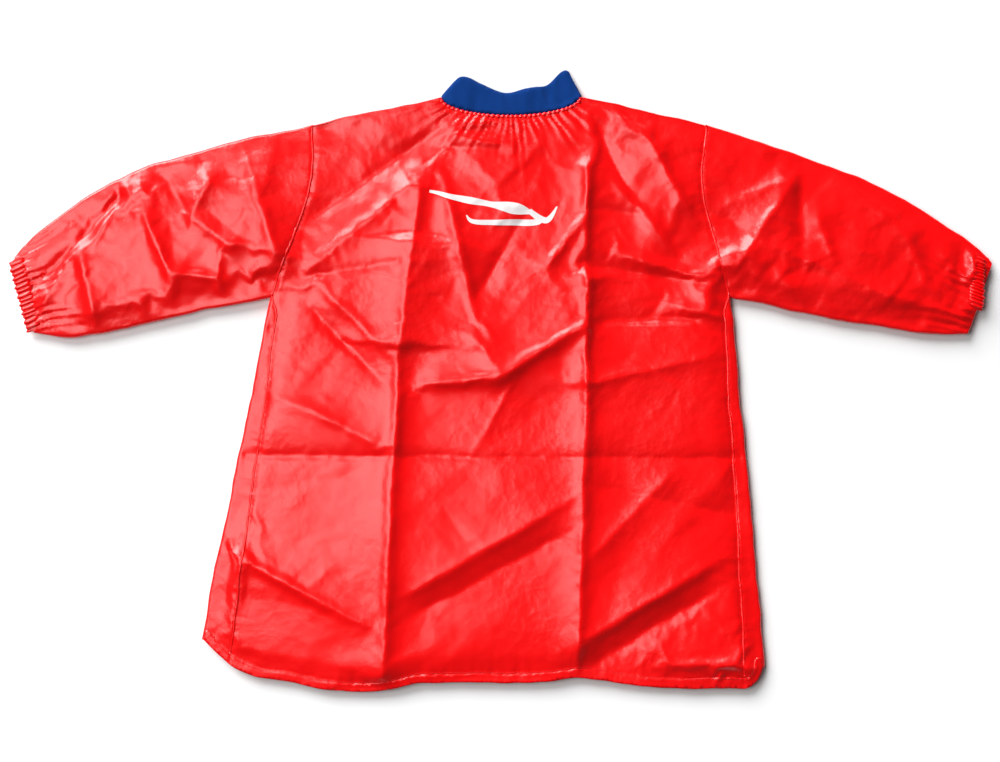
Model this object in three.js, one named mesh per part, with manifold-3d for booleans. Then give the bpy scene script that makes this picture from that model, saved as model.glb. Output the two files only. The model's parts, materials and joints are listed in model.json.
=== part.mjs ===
// A child's long-sleeved painting smock of light coated nylon, lying flat with its front up.
// Millimetres, +Z up out of the front, +Y towards the collar, +X towards the wearer's left.
// The cloth is drawn first as it would lie straight, with y = 0 at the hem, and laid() then leans it
// the way it lies. Every piece is cut from one flattened, slightly lofted envelope: cloth walls,
// turned hems, seam allowances and elastics are layers inside each other, a clearance apart.
import * as THREE from "three";
import { mergeVertices } from "three/addons/utils/BufferGeometryUtils.js";
import Module from "manifold-3d";

const wasm = await Module();
wasm.setup();

// Body, straight
const CHEST_HALF = 228;
const FLARE = 58; // how much further out the hem's corners are than the armpits
const ARMPIT_Y = 391;
const ARMHOLE_RISE = 168; // from the armpit up to the shoulder
const ARMHOLE_SLANT = 32; // and in towards the neck
const ARMHOLE_HOLLOW = 13; // how far the armhole curves in from the straight line
const ARMHOLE_HOLLOW_AT = 0.6; // and at which share of its height
const SHOULDER_RISE = 28; // from the shoulder up to the neck point
const NECK_HALF = 70;
const NECK_DEPTH = 19;
const HEM_CORNER = 42; // radius of the rounded corners of the hem
const HEM_DIP = 4; // the hem's middle hangs this much lower than its corners

// Sleeves, measured along the sleeve's own middle line
const SLEEVE_LENGTH = 282;
const SLEEVE_DROOP = THREE.MathUtils.degToRad(18);
const CUFF_HALF = 36;
// How far the edges lie from the middle line, at two stations along the sleeve.
const SLEEVE_STATIONS = [0.45, 0.82];
const SLEEVE_LAY = {
  right: { top: [85, 62], bottom: [66, 56] },
  left: { top: [72, 52], bottom: [66, 50] },
};

// How the garment lies
const LEAN = 0.052; // sideways shift for each millimetre up from the armpits
const SKIRT_TILT = 0.05; // the hem's left end lies lower, by this much for each millimetre across
const LOFT = 12; // height of the envelope
const EDGE_HEIGHT = 3; // height of its upright edge
const EDGE_RUN = 20; // width of its rounded border
const CROWN_STEPS = 3;

// Cloth and layers
const CLOTH = 0.6;
const KNIT = 1.4;
const GAP = 0.3;
const LAYER = CLOTH + GAP;
const SPLIT_Z = 2.2; // the walls are parted here into front and back

// Seams, hems and edges
const STRIP_TOP = 5; // width of the back cloth that shows in front of the side seam, at the armpit
const STRIP_HEM = 28; // and at the hem
const SHOULDER_LIP = 3;
const SEAM_ALLOWANCE = 8;
const HEM_WIDTH = 12;
const FACING_WIDTH = 18;
const OVERLAP = 40; // how far the two back edges pass each other
const BACK_LAYERS = 2; // cloth and facing of the right back edge, which the left one lies over

// Collar and its closure
const PEAK_HALF = 50;
const COLLAR_RISE = 23; // from the neck points up to the peaks
const COLLAR_DIP = 19; // from the peaks down to the middle of the collar's edge
const COLLAR_SAG = 0.7; // share of that dip already reached half way in from a peak
const TAPE_HEIGHT = 13;
const TAPE = 0.8;

// Cuffs
const CASING_WIDTH = 13;
const ELASTIC_WIDTH = 7;
const ELASTIC = 1;

// Back flap, which folds open about a straight line from the top of the collar to the hem
const FOLD_HEM = 190;
const FOLD_TOP = 34;

// Chest print
const PRINT_LENGTH = 128;
const PRINT_BELOW_NECK = 111;
const PRINT_ASIDE = 13; // towards the wearer's right
const PRINT = 0.3;

// Heights and half widths that follow from these
const HEM_HALF = CHEST_HALF + FLARE;
const SHOULDER_HALF = CHEST_HALF - ARMHOLE_SLANT;
const SHOULDER_Y = ARMPIT_Y + ARMHOLE_RISE;
const NECK_Y = SHOULDER_Y + SHOULDER_RISE;

const FAR = 2 * (HEM_HALF + SLEEVE_LENGTH); // reaches past everything
const PAST = 60; // how far the envelope runs on past an open end, so that it is cut there full height

const COLOURS = {
  nylon: [0xe0141c, 0.42],
  knit: [0x17468f, 0.85],
  elastic: [0xf2f2ee, 0.8],
  tape: [0x1b3f86, 0.95],
  print: [0xf4f0f2, 0.5],
};

const V = (x, y) => new THREE.Vector2(x, y);

// ---------------------------------------------------------------- solids

function solidOf(geometry) {
  geometry.deleteAttribute("normal");
  geometry.deleteAttribute("uv");
  const merged = mergeVertices(geometry, 1e-4);
  return new wasm.Manifold(
    new wasm.Mesh({
      numProp: 3,
      vertProperties: new Float32Array(merged.attributes.position.array),
      triVerts: new Uint32Array(merged.index.array),
    }),
  );
}

function geometryOf(solid) {
  const mesh = solid.getMesh();
  const points = new Float32Array(mesh.numVert * 3);
  for (let i = 0; i < mesh.numVert; i++) {
    points.set(mesh.vertProperties.subarray(i * mesh.numProp, i * mesh.numProp + 3), i * 3);
  }
  const geometry = new THREE.BufferGeometry();
  geometry.setAttribute("position", new THREE.BufferAttribute(points, 3));
  geometry.setIndex(new THREE.BufferAttribute(mesh.triVerts, 1));
  geometry.computeVertexNormals();
  return geometry;
}

// An upright prism over an outline, from one height to another.
function prism(outline, low = -FAR, high = FAR) {
  const geometry = new THREE.ExtrudeGeometry(new THREE.Shape(outline), {
    depth: high - low,
    bevelEnabled: false,
  });
  geometry.translate(0, 0, low);
  return solidOf(geometry);
}

function slab(low, high) {
  return prism([V(-FAR, -FAR), V(FAR, -FAR), V(FAR, FAR), V(-FAR, FAR)], low, high);
}

// ---------------------------------------------------------------- outlines

// A point of the straight garment, as it lies.
function laid(p) {
  const below = Math.max(0, ARMPIT_Y - p.y) / ARMPIT_Y;
  return V(p.x + LEAN * (p.y - ARMPIT_Y), p.y - SKIRT_TILT * p.x * below);
}

const mirrored = (points) => points.map((p) => V(-p.x, p.y)).reverse();
const layAll = (points) => points.map(laid);

function smooth(points, count) {
  return new THREE.SplineCurve(points).getPoints(count);
}

// Half the body's width at a height below the armpits.
const sideX = (y) => CHEST_HALF + ((HEM_HALF - CHEST_HALF) * (ARMPIT_Y - y)) / ARMPIT_Y;
// The same, at the side seam.
const seamX = (y) => sideX(y) - STRIP_TOP - ((STRIP_HEM - STRIP_TOP) * (ARMPIT_Y - y)) / ARMPIT_Y;

const ARMPIT = V(CHEST_HALF, ARMPIT_Y);
const SHOULDER = V(SHOULDER_HALF, SHOULDER_Y);
const NECK = V(NECK_HALF, NECK_Y);

// The armhole of the wearer's left side, from the armpit up to the shoulder.
function armhole(shift = 0) {
  const middle = ARMPIT.clone().lerp(SHOULDER, ARMHOLE_HOLLOW_AT);
  middle.x -= ARMHOLE_HOLLOW;
  return smooth([ARMPIT, middle, SHOULDER], 8).map((p) => V(p.x + shift, p.y));
}

// The hem from the left side to the right one, with rounded corners, moved in from the cut edge.
function hem(inset = 0) {
  const half = sideX(0) - inset;
  const edgeY = inset;
  const radius = HEM_CORNER - inset;
  const corner = [];
  for (let i = 0; i <= 4; i++) {
    const a = (Math.PI / 8) * i;
    corner.push(V(half - radius + radius * Math.cos(a), edgeY + radius - radius * Math.sin(a)));
  }
  return [...corner, V(0, edgeY - HEM_DIP), ...mirrored(corner)];
}

// The neck seam, from the left neck point round its low middle to the right one.
function neckSeam(inset = 0, lift = 0) {
  const curve = new THREE.EllipseCurve(0, NECK_Y + lift, NECK_HALF, NECK_DEPTH + inset, 0, -Math.PI, true);
  return curve.getPoints(12);
}

const sleeveWay = V(Math.cos(SLEEVE_DROOP), -Math.sin(SLEEVE_DROOP));
const sleeveUp = V(Math.sin(SLEEVE_DROOP), Math.cos(SLEEVE_DROOP));
const sleeveRoot = ARMPIT.clone().lerp(SHOULDER, 0.5);

// A point of the sleeve: so far along it, and so far across it upwards.
function onSleeve(along, across) {
  return sleeveRoot.clone().addScaledVector(sleeveWay, along).addScaledVector(sleeveUp, across);
}

// One long edge of a sleeve of the wearer's left side, from the body to past the cuff.
function sleeveEdge(start, offsets, sign) {
  const stations = SLEEVE_STATIONS.map((s, i) => onSleeve(s * SLEEVE_LENGTH, sign * offsets[i]));
  const edge = smooth([start, ...stations, onSleeve(SLEEVE_LENGTH, sign * CUFF_HALF)], 10);
  return [...edge, onSleeve(SLEEVE_LENGTH + PAST, sign * CUFF_HALF)];
}

// Half the envelope's outline as it lies straight, anticlockwise from the hem to the neck.
function halfSilhouette(lay) {
  return [
    V(sideX(-PAST), -PAST),
    ...sleeveEdge(ARMPIT, lay.bottom, -1),
    ...sleeveEdge(SHOULDER, lay.top, 1).reverse(),
    NECK,
    V(PEAK_HALF, NECK_Y + COLLAR_RISE),
    V(PEAK_HALF, NECK_Y + COLLAR_RISE + PAST),
  ];
}

const leftHalf = halfSilhouette(SLEEVE_LAY.left);
const rightHalf = mirrored(halfSilhouette(SLEEVE_LAY.right));
const silhouette = layAll([...leftHalf, ...rightHalf]);

// ---------------------------------------------------------------- the envelope

// The envelope's solid, drawn in by a distance on every side.
function envelope(inset) {
  const geometry = new THREE.ExtrudeGeometry(new THREE.Shape(silhouette), {
    depth: EDGE_HEIGHT,
    bevelEnabled: true,
    bevelThickness: LOFT - EDGE_HEIGHT - inset,
    bevelSize: EDGE_RUN,
    bevelOffset: -EDGE_RUN - inset,
    bevelSegments: CROWN_STEPS,
  });
  return solidOf(geometry).intersect(slab(inset, FAR));
}

const walls = new Map();

// A layer of the envelope's wall, from one depth inside it to another.
function wall(from, to) {
  const key = `${from} ${to}`;
  if (!walls.has(key)) walls.set(key, envelope(from).subtract(envelope(to)));
  return walls.get(key);
}

const upper = slab(SPLIT_Z + GAP / 2, FAR);
const lower = slab(-FAR, SPLIT_Z - GAP / 2);

// ---------------------------------------------------------------- cutting outlines

const onSide = (sign, points) => (sign > 0 ? points : mirrored(points));

// The ground outside one armhole.
function sleeveGround(sign) {
  const seam = armhole(GAP / 2);
  const low = seam[0];
  const high = seam[seam.length - 1];
  return layAll(
    onSide(sign, [
      V(low.x + PAST, low.y - PAST),
      onSleeve(SLEEVE_LENGTH, -CUFF_HALF - PAST),
      onSleeve(SLEEVE_LENGTH, CUFF_HALF + PAST),
      V(high.x, high.y + PAST),
      ...seam.reverse(),
    ]),
  );
}

// A stretch of a sleeve, square across its middle line.
function sleeveStretch(sign, from, to) {
  const reach = CUFF_HALF + PAST;
  return layAll(
    onSide(sign, [onSleeve(from, -reach), onSleeve(to, -reach), onSleeve(to, reach), onSleeve(from, reach)]),
  );
}

// A strip along the lower edge of a sleeve, where its seam runs.
function sleeveSeamStrip(sign, lay) {
  const edge = sleeveEdge(ARMPIT, lay.bottom, -1);
  const moved = (distance) => edge.map((p) => p.clone().addScaledVector(sleeveUp, distance));
  return layAll(onSide(sign, [...moved(-SEAM_ALLOWANCE), ...moved(SEAM_ALLOWANCE).reverse()]));
}

// The body's ground between the armholes, from the hem up to the neck seam, drawn in by three distances.
function bodyGround(hemInset, armInset, neckInset) {
  const seam = armhole(-armInset);
  const low = seam[0];
  const high = seam[seam.length - 1];
  const half = [
    V(FAR, HEM_CORNER),
    V(FAR, low.y - 2 * PAST),
    V(low.x + PAST, low.y - PAST),
    ...seam,
    V(high.x, high.y + PAST),
    V(NECK_HALF, NECK_Y + PAST),
  ];
  return layAll([...hem(hemInset).reverse(), ...half, ...neckSeam(neckInset), ...mirrored(half)]);
}

// The ground of the front alone, inside its side seams and under its shoulder seams.
function frontGround(inset) {
  const topY = ARMPIT_Y + PAST;
  const drop = SHOULDER_LIP + inset;
  const half = [
    V(seamX(-PAST) - inset, -PAST),
    V(seamX(ARMPIT_Y) - inset, topY),
    V(FAR, topY),
    V(FAR, SHOULDER_Y - drop),
    V(SHOULDER_HALF, SHOULDER_Y - drop),
    V(NECK_HALF, NECK_Y - drop),
  ];
  return layAll([...half, ...mirrored(half)]);
}

// The collar's ground, from the neck seam up to its waved edge.
function collarGround() {
  const peak = NECK_Y + COLLAR_RISE;
  const slope = [V(PEAK_HALF, peak), V(PEAK_HALF / 2, peak - COLLAR_DIP * COLLAR_SAG)];
  const edge = smooth([...slope, V(0, peak - COLLAR_DIP), ...mirrored(slope)], 12);
  const beyond = PEAK_HALF + PAST;
  const seam = neckSeam(0, GAP);
  return layAll([
    ...edge,
    V(-beyond, peak),
    V(-beyond, NECK_Y + GAP),
    ...seam.reverse(),
    V(beyond, NECK_Y + GAP),
    V(beyond, peak),
  ]);
}

// A rectangle square to the garment.
function rectangle(left, low, right, high) {
  return layAll([V(left, low), V(right, low), V(right, high), V(left, high)]);
}

// Everything to the left of a line up the back, given its distances from the middle at the hem and the top.
function leftOf(hemX, topX = hemX) {
  const top = NECK_Y + COLLAR_RISE;
  const line = (y) => V(hemX + ((topX - hemX) * y) / top, y);
  return prism(layAll([line(-PAST), V(FAR, -PAST), V(FAR, top + PAST), line(top + PAST)]));
}

// A ribbon along a smooth line, as wide as a list of widths says at even steps along it.
function ribbon(points, widths, count = 24) {
  const line = new THREE.SplineCurve(points);
  const width = new THREE.SplineCurve(widths.map((w, i) => V(i / (widths.length - 1), w)));
  const edge = (sign) =>
    Array.from({ length: count + 1 }, (_, i) => {
      const way = line.getTangent(i / count);
      const away = (sign * width.getPoint(i / count).y) / 2;
      return line.getPoint(i / count).add(V(-way.y, way.x).multiplyScalar(away));
    });
  return [...edge(-1), ...edge(1).reverse()];
}

// ---------------------------------------------------------------- sub-parts

const group = new THREE.Group();

function add(name, solid, [colour, roughness]) {
  const material = new THREE.MeshStandardMaterial({ color: colour, roughness, metalness: 0 });
  const mesh = new THREE.Mesh(geometryOf(solid), material);
  mesh.name = name;
  group.add(mesh);
}

const foldLine = (gap) => leftOf(-FOLD_HEM - gap, -FOLD_TOP - gap);
const backMiddle = -OVERLAP / 2;
const flapGround = foldLine(0).subtract(leftOf(OVERLAP / 2));
const left = leftOf(0);
const layerAt = (n) => n * LAYER;

// The left back edge steps up and lies over the right one: the flat part, the riser and the raised part.
function steppedUp(flat, height, thickness, ground) {
  const stepX = OVERLAP / 2 + GAP;
  const start = leftOf(stepX);
  const end = leftOf(stepX + thickness);
  const riser = start.subtract(end).intersect(slab(0, height + thickness));
  const raised = leftOf(backMiddle).subtract(end).intersect(slab(height, height + thickness));
  return flat.add(riser.add(raised).intersect(ground));
}

const outer = wall(0, CLOTH);
const inner = wall(LAYER, LAYER + CLOTH);
const bodyArea = prism(bodyGround(0, GAP / 2, GAP / 2));
const frontArea = prism(frontGround(0));
const overFront = prism(frontGround(-GAP)).intersect(slab(SPLIT_Z - GAP / 2, FAR));

// What is left of the body's ground inside its hems and seam allowances.
function clearOf(hemInset, seamInset) {
  const inset = GAP / 2 + seamInset;
  return prism(bodyGround(hemInset, inset, inset));
}

function panels() {
  const cloth = outer.intersect(bodyArea);
  add("front_panel", cloth.intersect(upper).intersect(frontArea), COLOURS.nylon);
  const back = cloth.subtract(overFront);
  add("back_panel_right", back.subtract(foldLine(GAP)), COLOURS.nylon);
  const flat = back.intersect(leftOf(OVERLAP / 2 + GAP));
  add("back_panel_left", steppedUp(flat, layerAt(BACK_LAYERS), CLOTH, bodyArea), COLOURS.nylon);
  add("back_flap_right", cloth.intersect(lower).intersect(flapGround), COLOURS.nylon);
}

function hems() {
  const turned = inner.intersect(bodyArea).subtract(clearOf(HEM_WIDTH, -GAP / 2));
  const hemBand = prism(rectangle(-FAR, -FAR, FAR, HEM_CORNER * 2));
  const strip = turned.intersect(hemBand);
  add("front_hem", strip.intersect(upper).intersect(frontArea), COLOURS.nylon);
  const back = strip.subtract(overFront);
  add("back_hem_right", back.subtract(foldLine(GAP)), COLOURS.nylon);
  add("back_hem_left", back.intersect(leftOf(OVERLAP / 2 + LAYER + GAP)), COLOURS.nylon);
  add("flap_hem", strip.intersect(lower).intersect(flapGround), COLOURS.nylon);
}

function facings() {
  const low = HEM_WIDTH + GAP;
  const high = NECK_Y - NECK_DEPTH - SEAM_ALLOWANCE - 2 * GAP;
  const strip = (from, layer) =>
    prism(rectangle(from, low, from + FACING_WIDTH, high), layerAt(layer), layerAt(layer) + CLOTH);
  add("facing_right", strip(OVERLAP / 2 - FACING_WIDTH, 1), COLOURS.nylon);
  add("facing_left", strip(-OVERLAP / 2, BACK_LAYERS + 1), COLOURS.nylon);
}

function bodySeams() {
  const within = clearOf(HEM_WIDTH + GAP, SEAM_ALLOWANCE + GAP);
  const armholes = inner.intersect(bodyArea).subtract(clearOf(-PAST, SEAM_ALLOWANCE)).subtract(
    prism(rectangle(-NECK_HALF - SEAM_ALLOWANCE, -FAR, NECK_HALF + SEAM_ALLOWANCE, FAR)),
  );
  const overBody = inner.intersect(upper).intersect(frontArea);
  const border = overBody.subtract(prism(frontGround(SEAM_ALLOWANCE))).intersect(within);
  const sides = border.intersect(prism(rectangle(-FAR, -FAR, FAR, ARMPIT_Y - SEAM_ALLOWANCE)));
  const pastNeck = NECK_HALF + GAP;
  const shoulders = border
    .intersect(prism(rectangle(-FAR, SHOULDER_Y - 2 * SEAM_ALLOWANCE, FAR, FAR)))
    .subtract(prism(rectangle(-pastNeck, -FAR, pastNeck, FAR)));
  const seams = { armhole_seam: armholes, side_seam: sides, shoulder_seam: shoulders };
  for (const [name, solid] of Object.entries(seams)) {
    add(`${name}_left`, solid.intersect(left), COLOURS.nylon);
    add(`${name}_right`, solid.subtract(left), COLOURS.nylon);
  }
}

function neckSeams() {
  const nearNeck = prism(rectangle(-NECK_HALF, ARMPIT_Y, NECK_HALF, FAR));
  const ring = inner.intersect(bodyArea).subtract(clearOf(-PAST, SEAM_ALLOWANCE)).intersect(nearNeck);
  const back = foldLine(GAP).subtract(leftOf(OVERLAP / 2 + LAYER + GAP)).intersect(slab(-FAR, SPLIT_Z));
  add("neck_seam", ring.subtract(back), COLOURS.nylon);
  add("neck_seam_flap", ring.intersect(lower).intersect(flapGround), COLOURS.nylon);
}

function collar() {
  const area = prism(collarGround());
  const knit = wall(0, KNIT).intersect(area);
  const tapeLow = KNIT + GAP;
  const stack = tapeLow + 2 * (TAPE + GAP);
  const opened = foldLine(GAP).subtract(leftOf(OVERLAP / 2 + GAP)).intersect(slab(-FAR, SPLIT_Z));
  add("collar_band", steppedUp(knit.subtract(opened), stack, KNIT, area), COLOURS.knit);
  add("collar_end", knit.intersect(lower).intersect(flapGround), COLOURS.knit);

  const middle = NECK_Y - NECK_DEPTH + (COLLAR_RISE - COLLAR_DIP + NECK_DEPTH) / 2;
  const half = OVERLAP / 2 - 2 * GAP;
  const patch = rectangle(-half, middle - TAPE_HEIGHT / 2, half, middle + TAPE_HEIGHT / 2);
  add("hook_patch", prism(patch, tapeLow, tapeLow + TAPE), COLOURS.tape);
  add("loop_patch", prism(patch, stack - GAP - TAPE, stack - GAP), COLOURS.tape);
}

function sleeve(side, sign) {
  const ground = prism(sleeveGround(sign));
  const end = SLEEVE_LENGTH;
  const stretch = (depth, thickness, from, to) =>
    wall(depth, depth + thickness).intersect(ground).intersect(prism(sleeveStretch(sign, from, to)));
  add(`sleeve_${side}`, stretch(0, CLOTH, -PAST, end), COLOURS.nylon);
  const margin = (CASING_WIDTH - ELASTIC_WIDTH) / 2;
  const elastic = stretch(LAYER, ELASTIC, end - CASING_WIDTH + margin, end - margin);
  add(`cuff_elastic_${side}`, elastic, COLOURS.elastic);
  add(`cuff_casing_${side}`, stretch(LAYER + ELASTIC + GAP, CLOTH, end - CASING_WIDTH, end), COLOURS.nylon);
  const seam = stretch(LAYER, CLOTH, -PAST, end - CASING_WIDTH - GAP);
  add(`sleeve_seam_${side}`, seam.intersect(prism(sleeveSeamStrip(sign, SLEEVE_LAY[side]))), COLOURS.nylon);
}

// A paintbrush and the wavy stroke that it has drawn, sized by the print's length.
function chestPrint() {
  const at = (x, y) => V(x * PRINT_LENGTH - PRINT_ASIDE, NECK_Y - PRINT_BELOW_NECK + y * PRINT_LENGTH);
  const wide = (...shares) => shares.map((share) => share * PRINT_LENGTH);
  const brushLine = [at(-0.5, 0.13), at(-0.1, 0.05), at(0.3, -0.03)];
  const brush = ribbon(brushLine, wide(0.02, 0.035, 0.055, 0.045, 0.09, 0.03));
  const wave = [at(0.29, -0.02), at(0.36, -0.1), at(0.1, -0.11), at(-0.14, -0.1), at(-0.2, -0.05)];
  const stroke = ribbon([at(0.5, 0.02), at(0.42, -0.09), ...wave.slice(0, 1)], wide(0.01, 0.05, 0.04));
  const trail = ribbon(wave, wide(0.04, 0.05, 0.045, 0.035, 0.01));
  const flat = (outline) => prism(layAll(outline), LOFT + GAP, LOFT + GAP + PRINT);
  add("chest_motif", flat(brush).add(flat(stroke)).add(flat(trail)), COLOURS.print);
}

panels();
hems();
facings();
bodySeams();
neckSeams();
collar();
sleeve("left", 1);
sleeve("right", -1);
chestPrint();

const box = new THREE.Box3().setFromObject(group);
group.position.set(-(box.min.x + box.max.x) / 2, -(box.min.y + box.max.y) / 2, -box.min.z);

export default group;
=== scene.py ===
"""A child's long-sleeved painting smock of thin coated nylon, lying with its front up.

The upper layer of the whole garment is one cloth, simulated as it settles with its folds, and then cut
into the pieces that it is sewn from. The lower layer, the knit collar, the cuffs, the hems and the
seams are built along the same lines. All lengths are in metres.
"""

import json
import math

import bpy
import numpy as np
from mathutils import Matrix, Vector, noise
from mathutils.bvhtree import BVHTree
from mathutils.geometry import delaunay_2d_cdt
from mathutils.kdtree import KDTree

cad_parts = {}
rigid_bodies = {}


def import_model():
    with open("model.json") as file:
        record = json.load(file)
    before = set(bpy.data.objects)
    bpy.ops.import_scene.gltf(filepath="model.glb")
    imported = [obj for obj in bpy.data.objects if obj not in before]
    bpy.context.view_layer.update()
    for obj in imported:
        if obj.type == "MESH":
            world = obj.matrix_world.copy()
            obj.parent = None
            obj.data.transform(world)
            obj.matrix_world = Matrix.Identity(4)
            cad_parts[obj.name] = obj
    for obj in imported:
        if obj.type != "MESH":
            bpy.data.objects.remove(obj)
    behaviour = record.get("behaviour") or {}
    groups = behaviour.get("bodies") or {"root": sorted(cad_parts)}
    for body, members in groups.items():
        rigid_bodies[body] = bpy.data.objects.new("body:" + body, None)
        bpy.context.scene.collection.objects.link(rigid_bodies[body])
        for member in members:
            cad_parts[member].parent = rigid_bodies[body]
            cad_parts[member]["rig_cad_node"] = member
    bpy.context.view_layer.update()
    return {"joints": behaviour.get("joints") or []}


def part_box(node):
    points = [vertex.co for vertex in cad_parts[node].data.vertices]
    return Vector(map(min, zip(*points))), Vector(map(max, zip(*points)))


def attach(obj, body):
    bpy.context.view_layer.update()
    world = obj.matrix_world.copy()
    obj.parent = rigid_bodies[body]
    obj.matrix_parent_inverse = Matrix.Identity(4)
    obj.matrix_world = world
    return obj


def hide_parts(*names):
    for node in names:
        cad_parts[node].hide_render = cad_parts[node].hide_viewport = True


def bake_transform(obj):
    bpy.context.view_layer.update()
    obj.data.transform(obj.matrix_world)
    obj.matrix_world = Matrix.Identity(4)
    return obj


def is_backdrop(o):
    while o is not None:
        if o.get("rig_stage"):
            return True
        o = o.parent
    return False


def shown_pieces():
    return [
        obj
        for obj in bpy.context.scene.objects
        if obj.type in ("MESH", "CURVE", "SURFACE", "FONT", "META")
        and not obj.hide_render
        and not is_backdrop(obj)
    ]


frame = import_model()

# ------------------------------------------------------------------ sizes

# The body as it would lie straight, with y = 0 at the hem
CHEST_HALF = 0.228
FLARE = 0.058
ARMPIT_Y = 0.391
ARMHOLE_RISE = 0.168
ARMHOLE_SLANT = 0.032
ARMHOLE_HOLLOW = 0.013
ARMHOLE_HOLLOW_AT = 0.6
SHOULDER_RISE = 0.028
NECK_HALF = 0.070
NECK_DEPTH = 0.019
# How far up each side its hem corner starts, and the cut that makes the right one
HEM_CORNERS = {"left": 0.022, "right": 0.0423}
CUT_CORNER = [(0.2797, 0.0423), (0.2604, 0.0240), (0.2441, 0.0124), (0.2237, 0.0033)]
HEM_WAVE = [
    (-0.190, -0.0008),
    (-0.132, -0.008),
    (-0.092, -0.0055),
    (-0.052, 0.002),
    (0.028, 0.0025),
    (0.070, 0.0045),
    (0.098, 0.009),
    (0.125, 0.006),
    (0.160, 0.001),
    (0.215, -0.001),
]
SHOULDER_HALF = CHEST_HALF - ARMHOLE_SLANT
SHOULDER_Y = ARMPIT_Y + ARMHOLE_RISE
NECK_Y = SHOULDER_Y + SHOULDER_RISE

# How it leans as it lies
LEAN = 0.052
SKIRT_TILT = 0.015

# Sleeves
SLEEVE_LENGTH = 0.282
SLEEVE_DROOP = math.radians(18)
CUFF_HALF = 0.036
SLEEVE_STATIONS = (0.45, 0.82)
SLEEVE_LAY = {
    "left": {"top": (0.072, 0.052), "bottom": (0.066, 0.050)},
    "right": {"top": (0.085, 0.062), "bottom": (0.066, 0.056)},
}

# Seams, hems, back. How wide the back cloth shows beside each side seam, at its top and at the hem
STRIPS = {"right": (0.008, 0.033), "left": (0.006, 0.021)}
HEM_WIDTH = 0.011
OVERLAP = 0.040
FACING_WIDTH = 0.018
SEAM_ALLOWANCE = 0.007
# Between which places the left back panel climbs over the right one's edge, and how high
CLIMB = (0.026, 0.0215)
CLIMB_HEIGHT = 0.0018
# What lies on the back flap ends this far from its fold line and from the middle of the back
FLAP_GAP = 0.002
FLAP_END = 0.019

# Collar and cuffs
PEAK_HALF = 0.052
COLLAR_RISE = 0.023
CASING_WIDTH = 0.012
# Each cuff's half width as it lies, and how far up it has slipped: the left one is twisted
CUFF_LAY = {"right": (CUFF_HALF, 0.0), "left": (0.0240, 0.0130)}

# Heights: the lowest layer, the least of the upper one, its edge, and its rise from there
UNDERSIDE = 0.0005
BACK_Z = 0.0020
EDGE_Z = 0.0046
LOFT = 0.0062
# The heights that folds are eased under, before the cloth settles and after its crinkles
FOLDS_TOP = 0.0180
CRINKLES_TOP = 0.0215

# The simulated cloth: its step, its scale and how many frames it settles for
SPACING = 0.005
SIM_SCALE = 10
SETTLE_FRAMES = 24

SIDES = {"left": 1, "right": -1}

# ------------------------------------------------------------------ lines of the garment

# The closure patch lies on the middle of the back neck, which ties the straight garment to the frame.
NECK_LOW = NECK_Y - NECK_DEPTH
PATCH_RISE = 0.0115
patch_low, patch_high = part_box("hook_patch")
PATCH_Y = NECK_LOW + PATCH_RISE
MIDDLE_X = (patch_low.x + patch_high.x) / 2 - LEAN * (PATCH_Y - ARMPIT_Y)
HEM_Y = (patch_low.y + patch_high.y) / 2 - PATCH_Y


def ease(low, high, x):
    """0 at low and 1 at high, with soft ends."""
    t = np.clip((np.asarray(x, float) - low) / (high - low), 0, 1)
    return t * t * (3 - 2 * t)


def laid(points):
    """Where points of the straight garment lie."""
    p = np.asarray(points, float)
    below = np.maximum(0, ARMPIT_Y - p[..., 1]) / ARMPIT_Y
    x = p[..., 0] + LEAN * (p[..., 1] - ARMPIT_Y) + MIDDLE_X
    y = p[..., 1] - SKIRT_TILT * p[..., 0] * below + HEM_Y
    return np.stack([x, y], -1)


def straight(points):
    """The straight garment's points that lie here: laid() the other way round."""
    p = np.asarray(points, float)
    y = p[..., 1] - HEM_Y
    x = p[..., 0]
    for _ in range(4):
        x = p[..., 0] - MIDDLE_X - LEAN * (y - ARMPIT_Y)
        below = np.maximum(0, ARMPIT_Y - y) / ARMPIT_Y
        y = p[..., 1] - HEM_Y + SKIRT_TILT * x * below
    return np.stack([x, y], -1)


def spline(points, count):
    """A smooth line through the points."""
    p = np.asarray(points, float)
    ends = np.vstack([p[:1], p, p[-1:]])
    u = np.linspace(0, len(p) - 1, count + 1)
    k = np.minimum(u.astype(int), len(p) - 2)
    t = (u - k)[:, None]
    a, b, c, d = ends[k], ends[k + 1], ends[k + 2], ends[k + 3]
    go, come = (c - a) / 2, (d - b) / 2
    return (2 * b - 2 * c + go + come) * t**3 + (3 * c - 3 * b - 2 * go - come) * t**2 + go * t + b


def evenly(line, step, closed=False):
    """The line's points at even steps."""
    p = np.asarray(line, float)
    if closed:
        p = np.vstack([p, p[:1]])
    length = np.linalg.norm(np.diff(p, axis=0), axis=1)
    p = p[np.r_[True, length > 1e-7]]
    run = np.r_[0, np.cumsum(np.linalg.norm(np.diff(p, axis=0), axis=1))]
    at = np.linspace(0, run[-1], max(2, round(run[-1] / step)) + 1)
    out = np.stack([np.interp(at, run, p[:, i]) for i in range(p.shape[1])], -1)
    return out[:-1] if closed else out


def ways(line):
    """The unit directions that a line goes in at its points."""
    way = np.gradient(line, axis=0)
    return way / np.linalg.norm(way, axis=1)[:, None]


def left_of(way):
    """Flat directions turned a quarter turn to the left."""
    return np.stack([-way[:, 1], way[:, 0]], -1)


def on_side(side, points):
    """The left side's points, mirrored for the right side."""
    return np.asarray(points, float) if side == "left" else np.asarray(points) * (-1, 1)


def side_x(y):
    """How far out the body's side is."""
    return CHEST_HALF + FLARE * (ARMPIT_Y - y) / ARMPIT_Y


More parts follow.
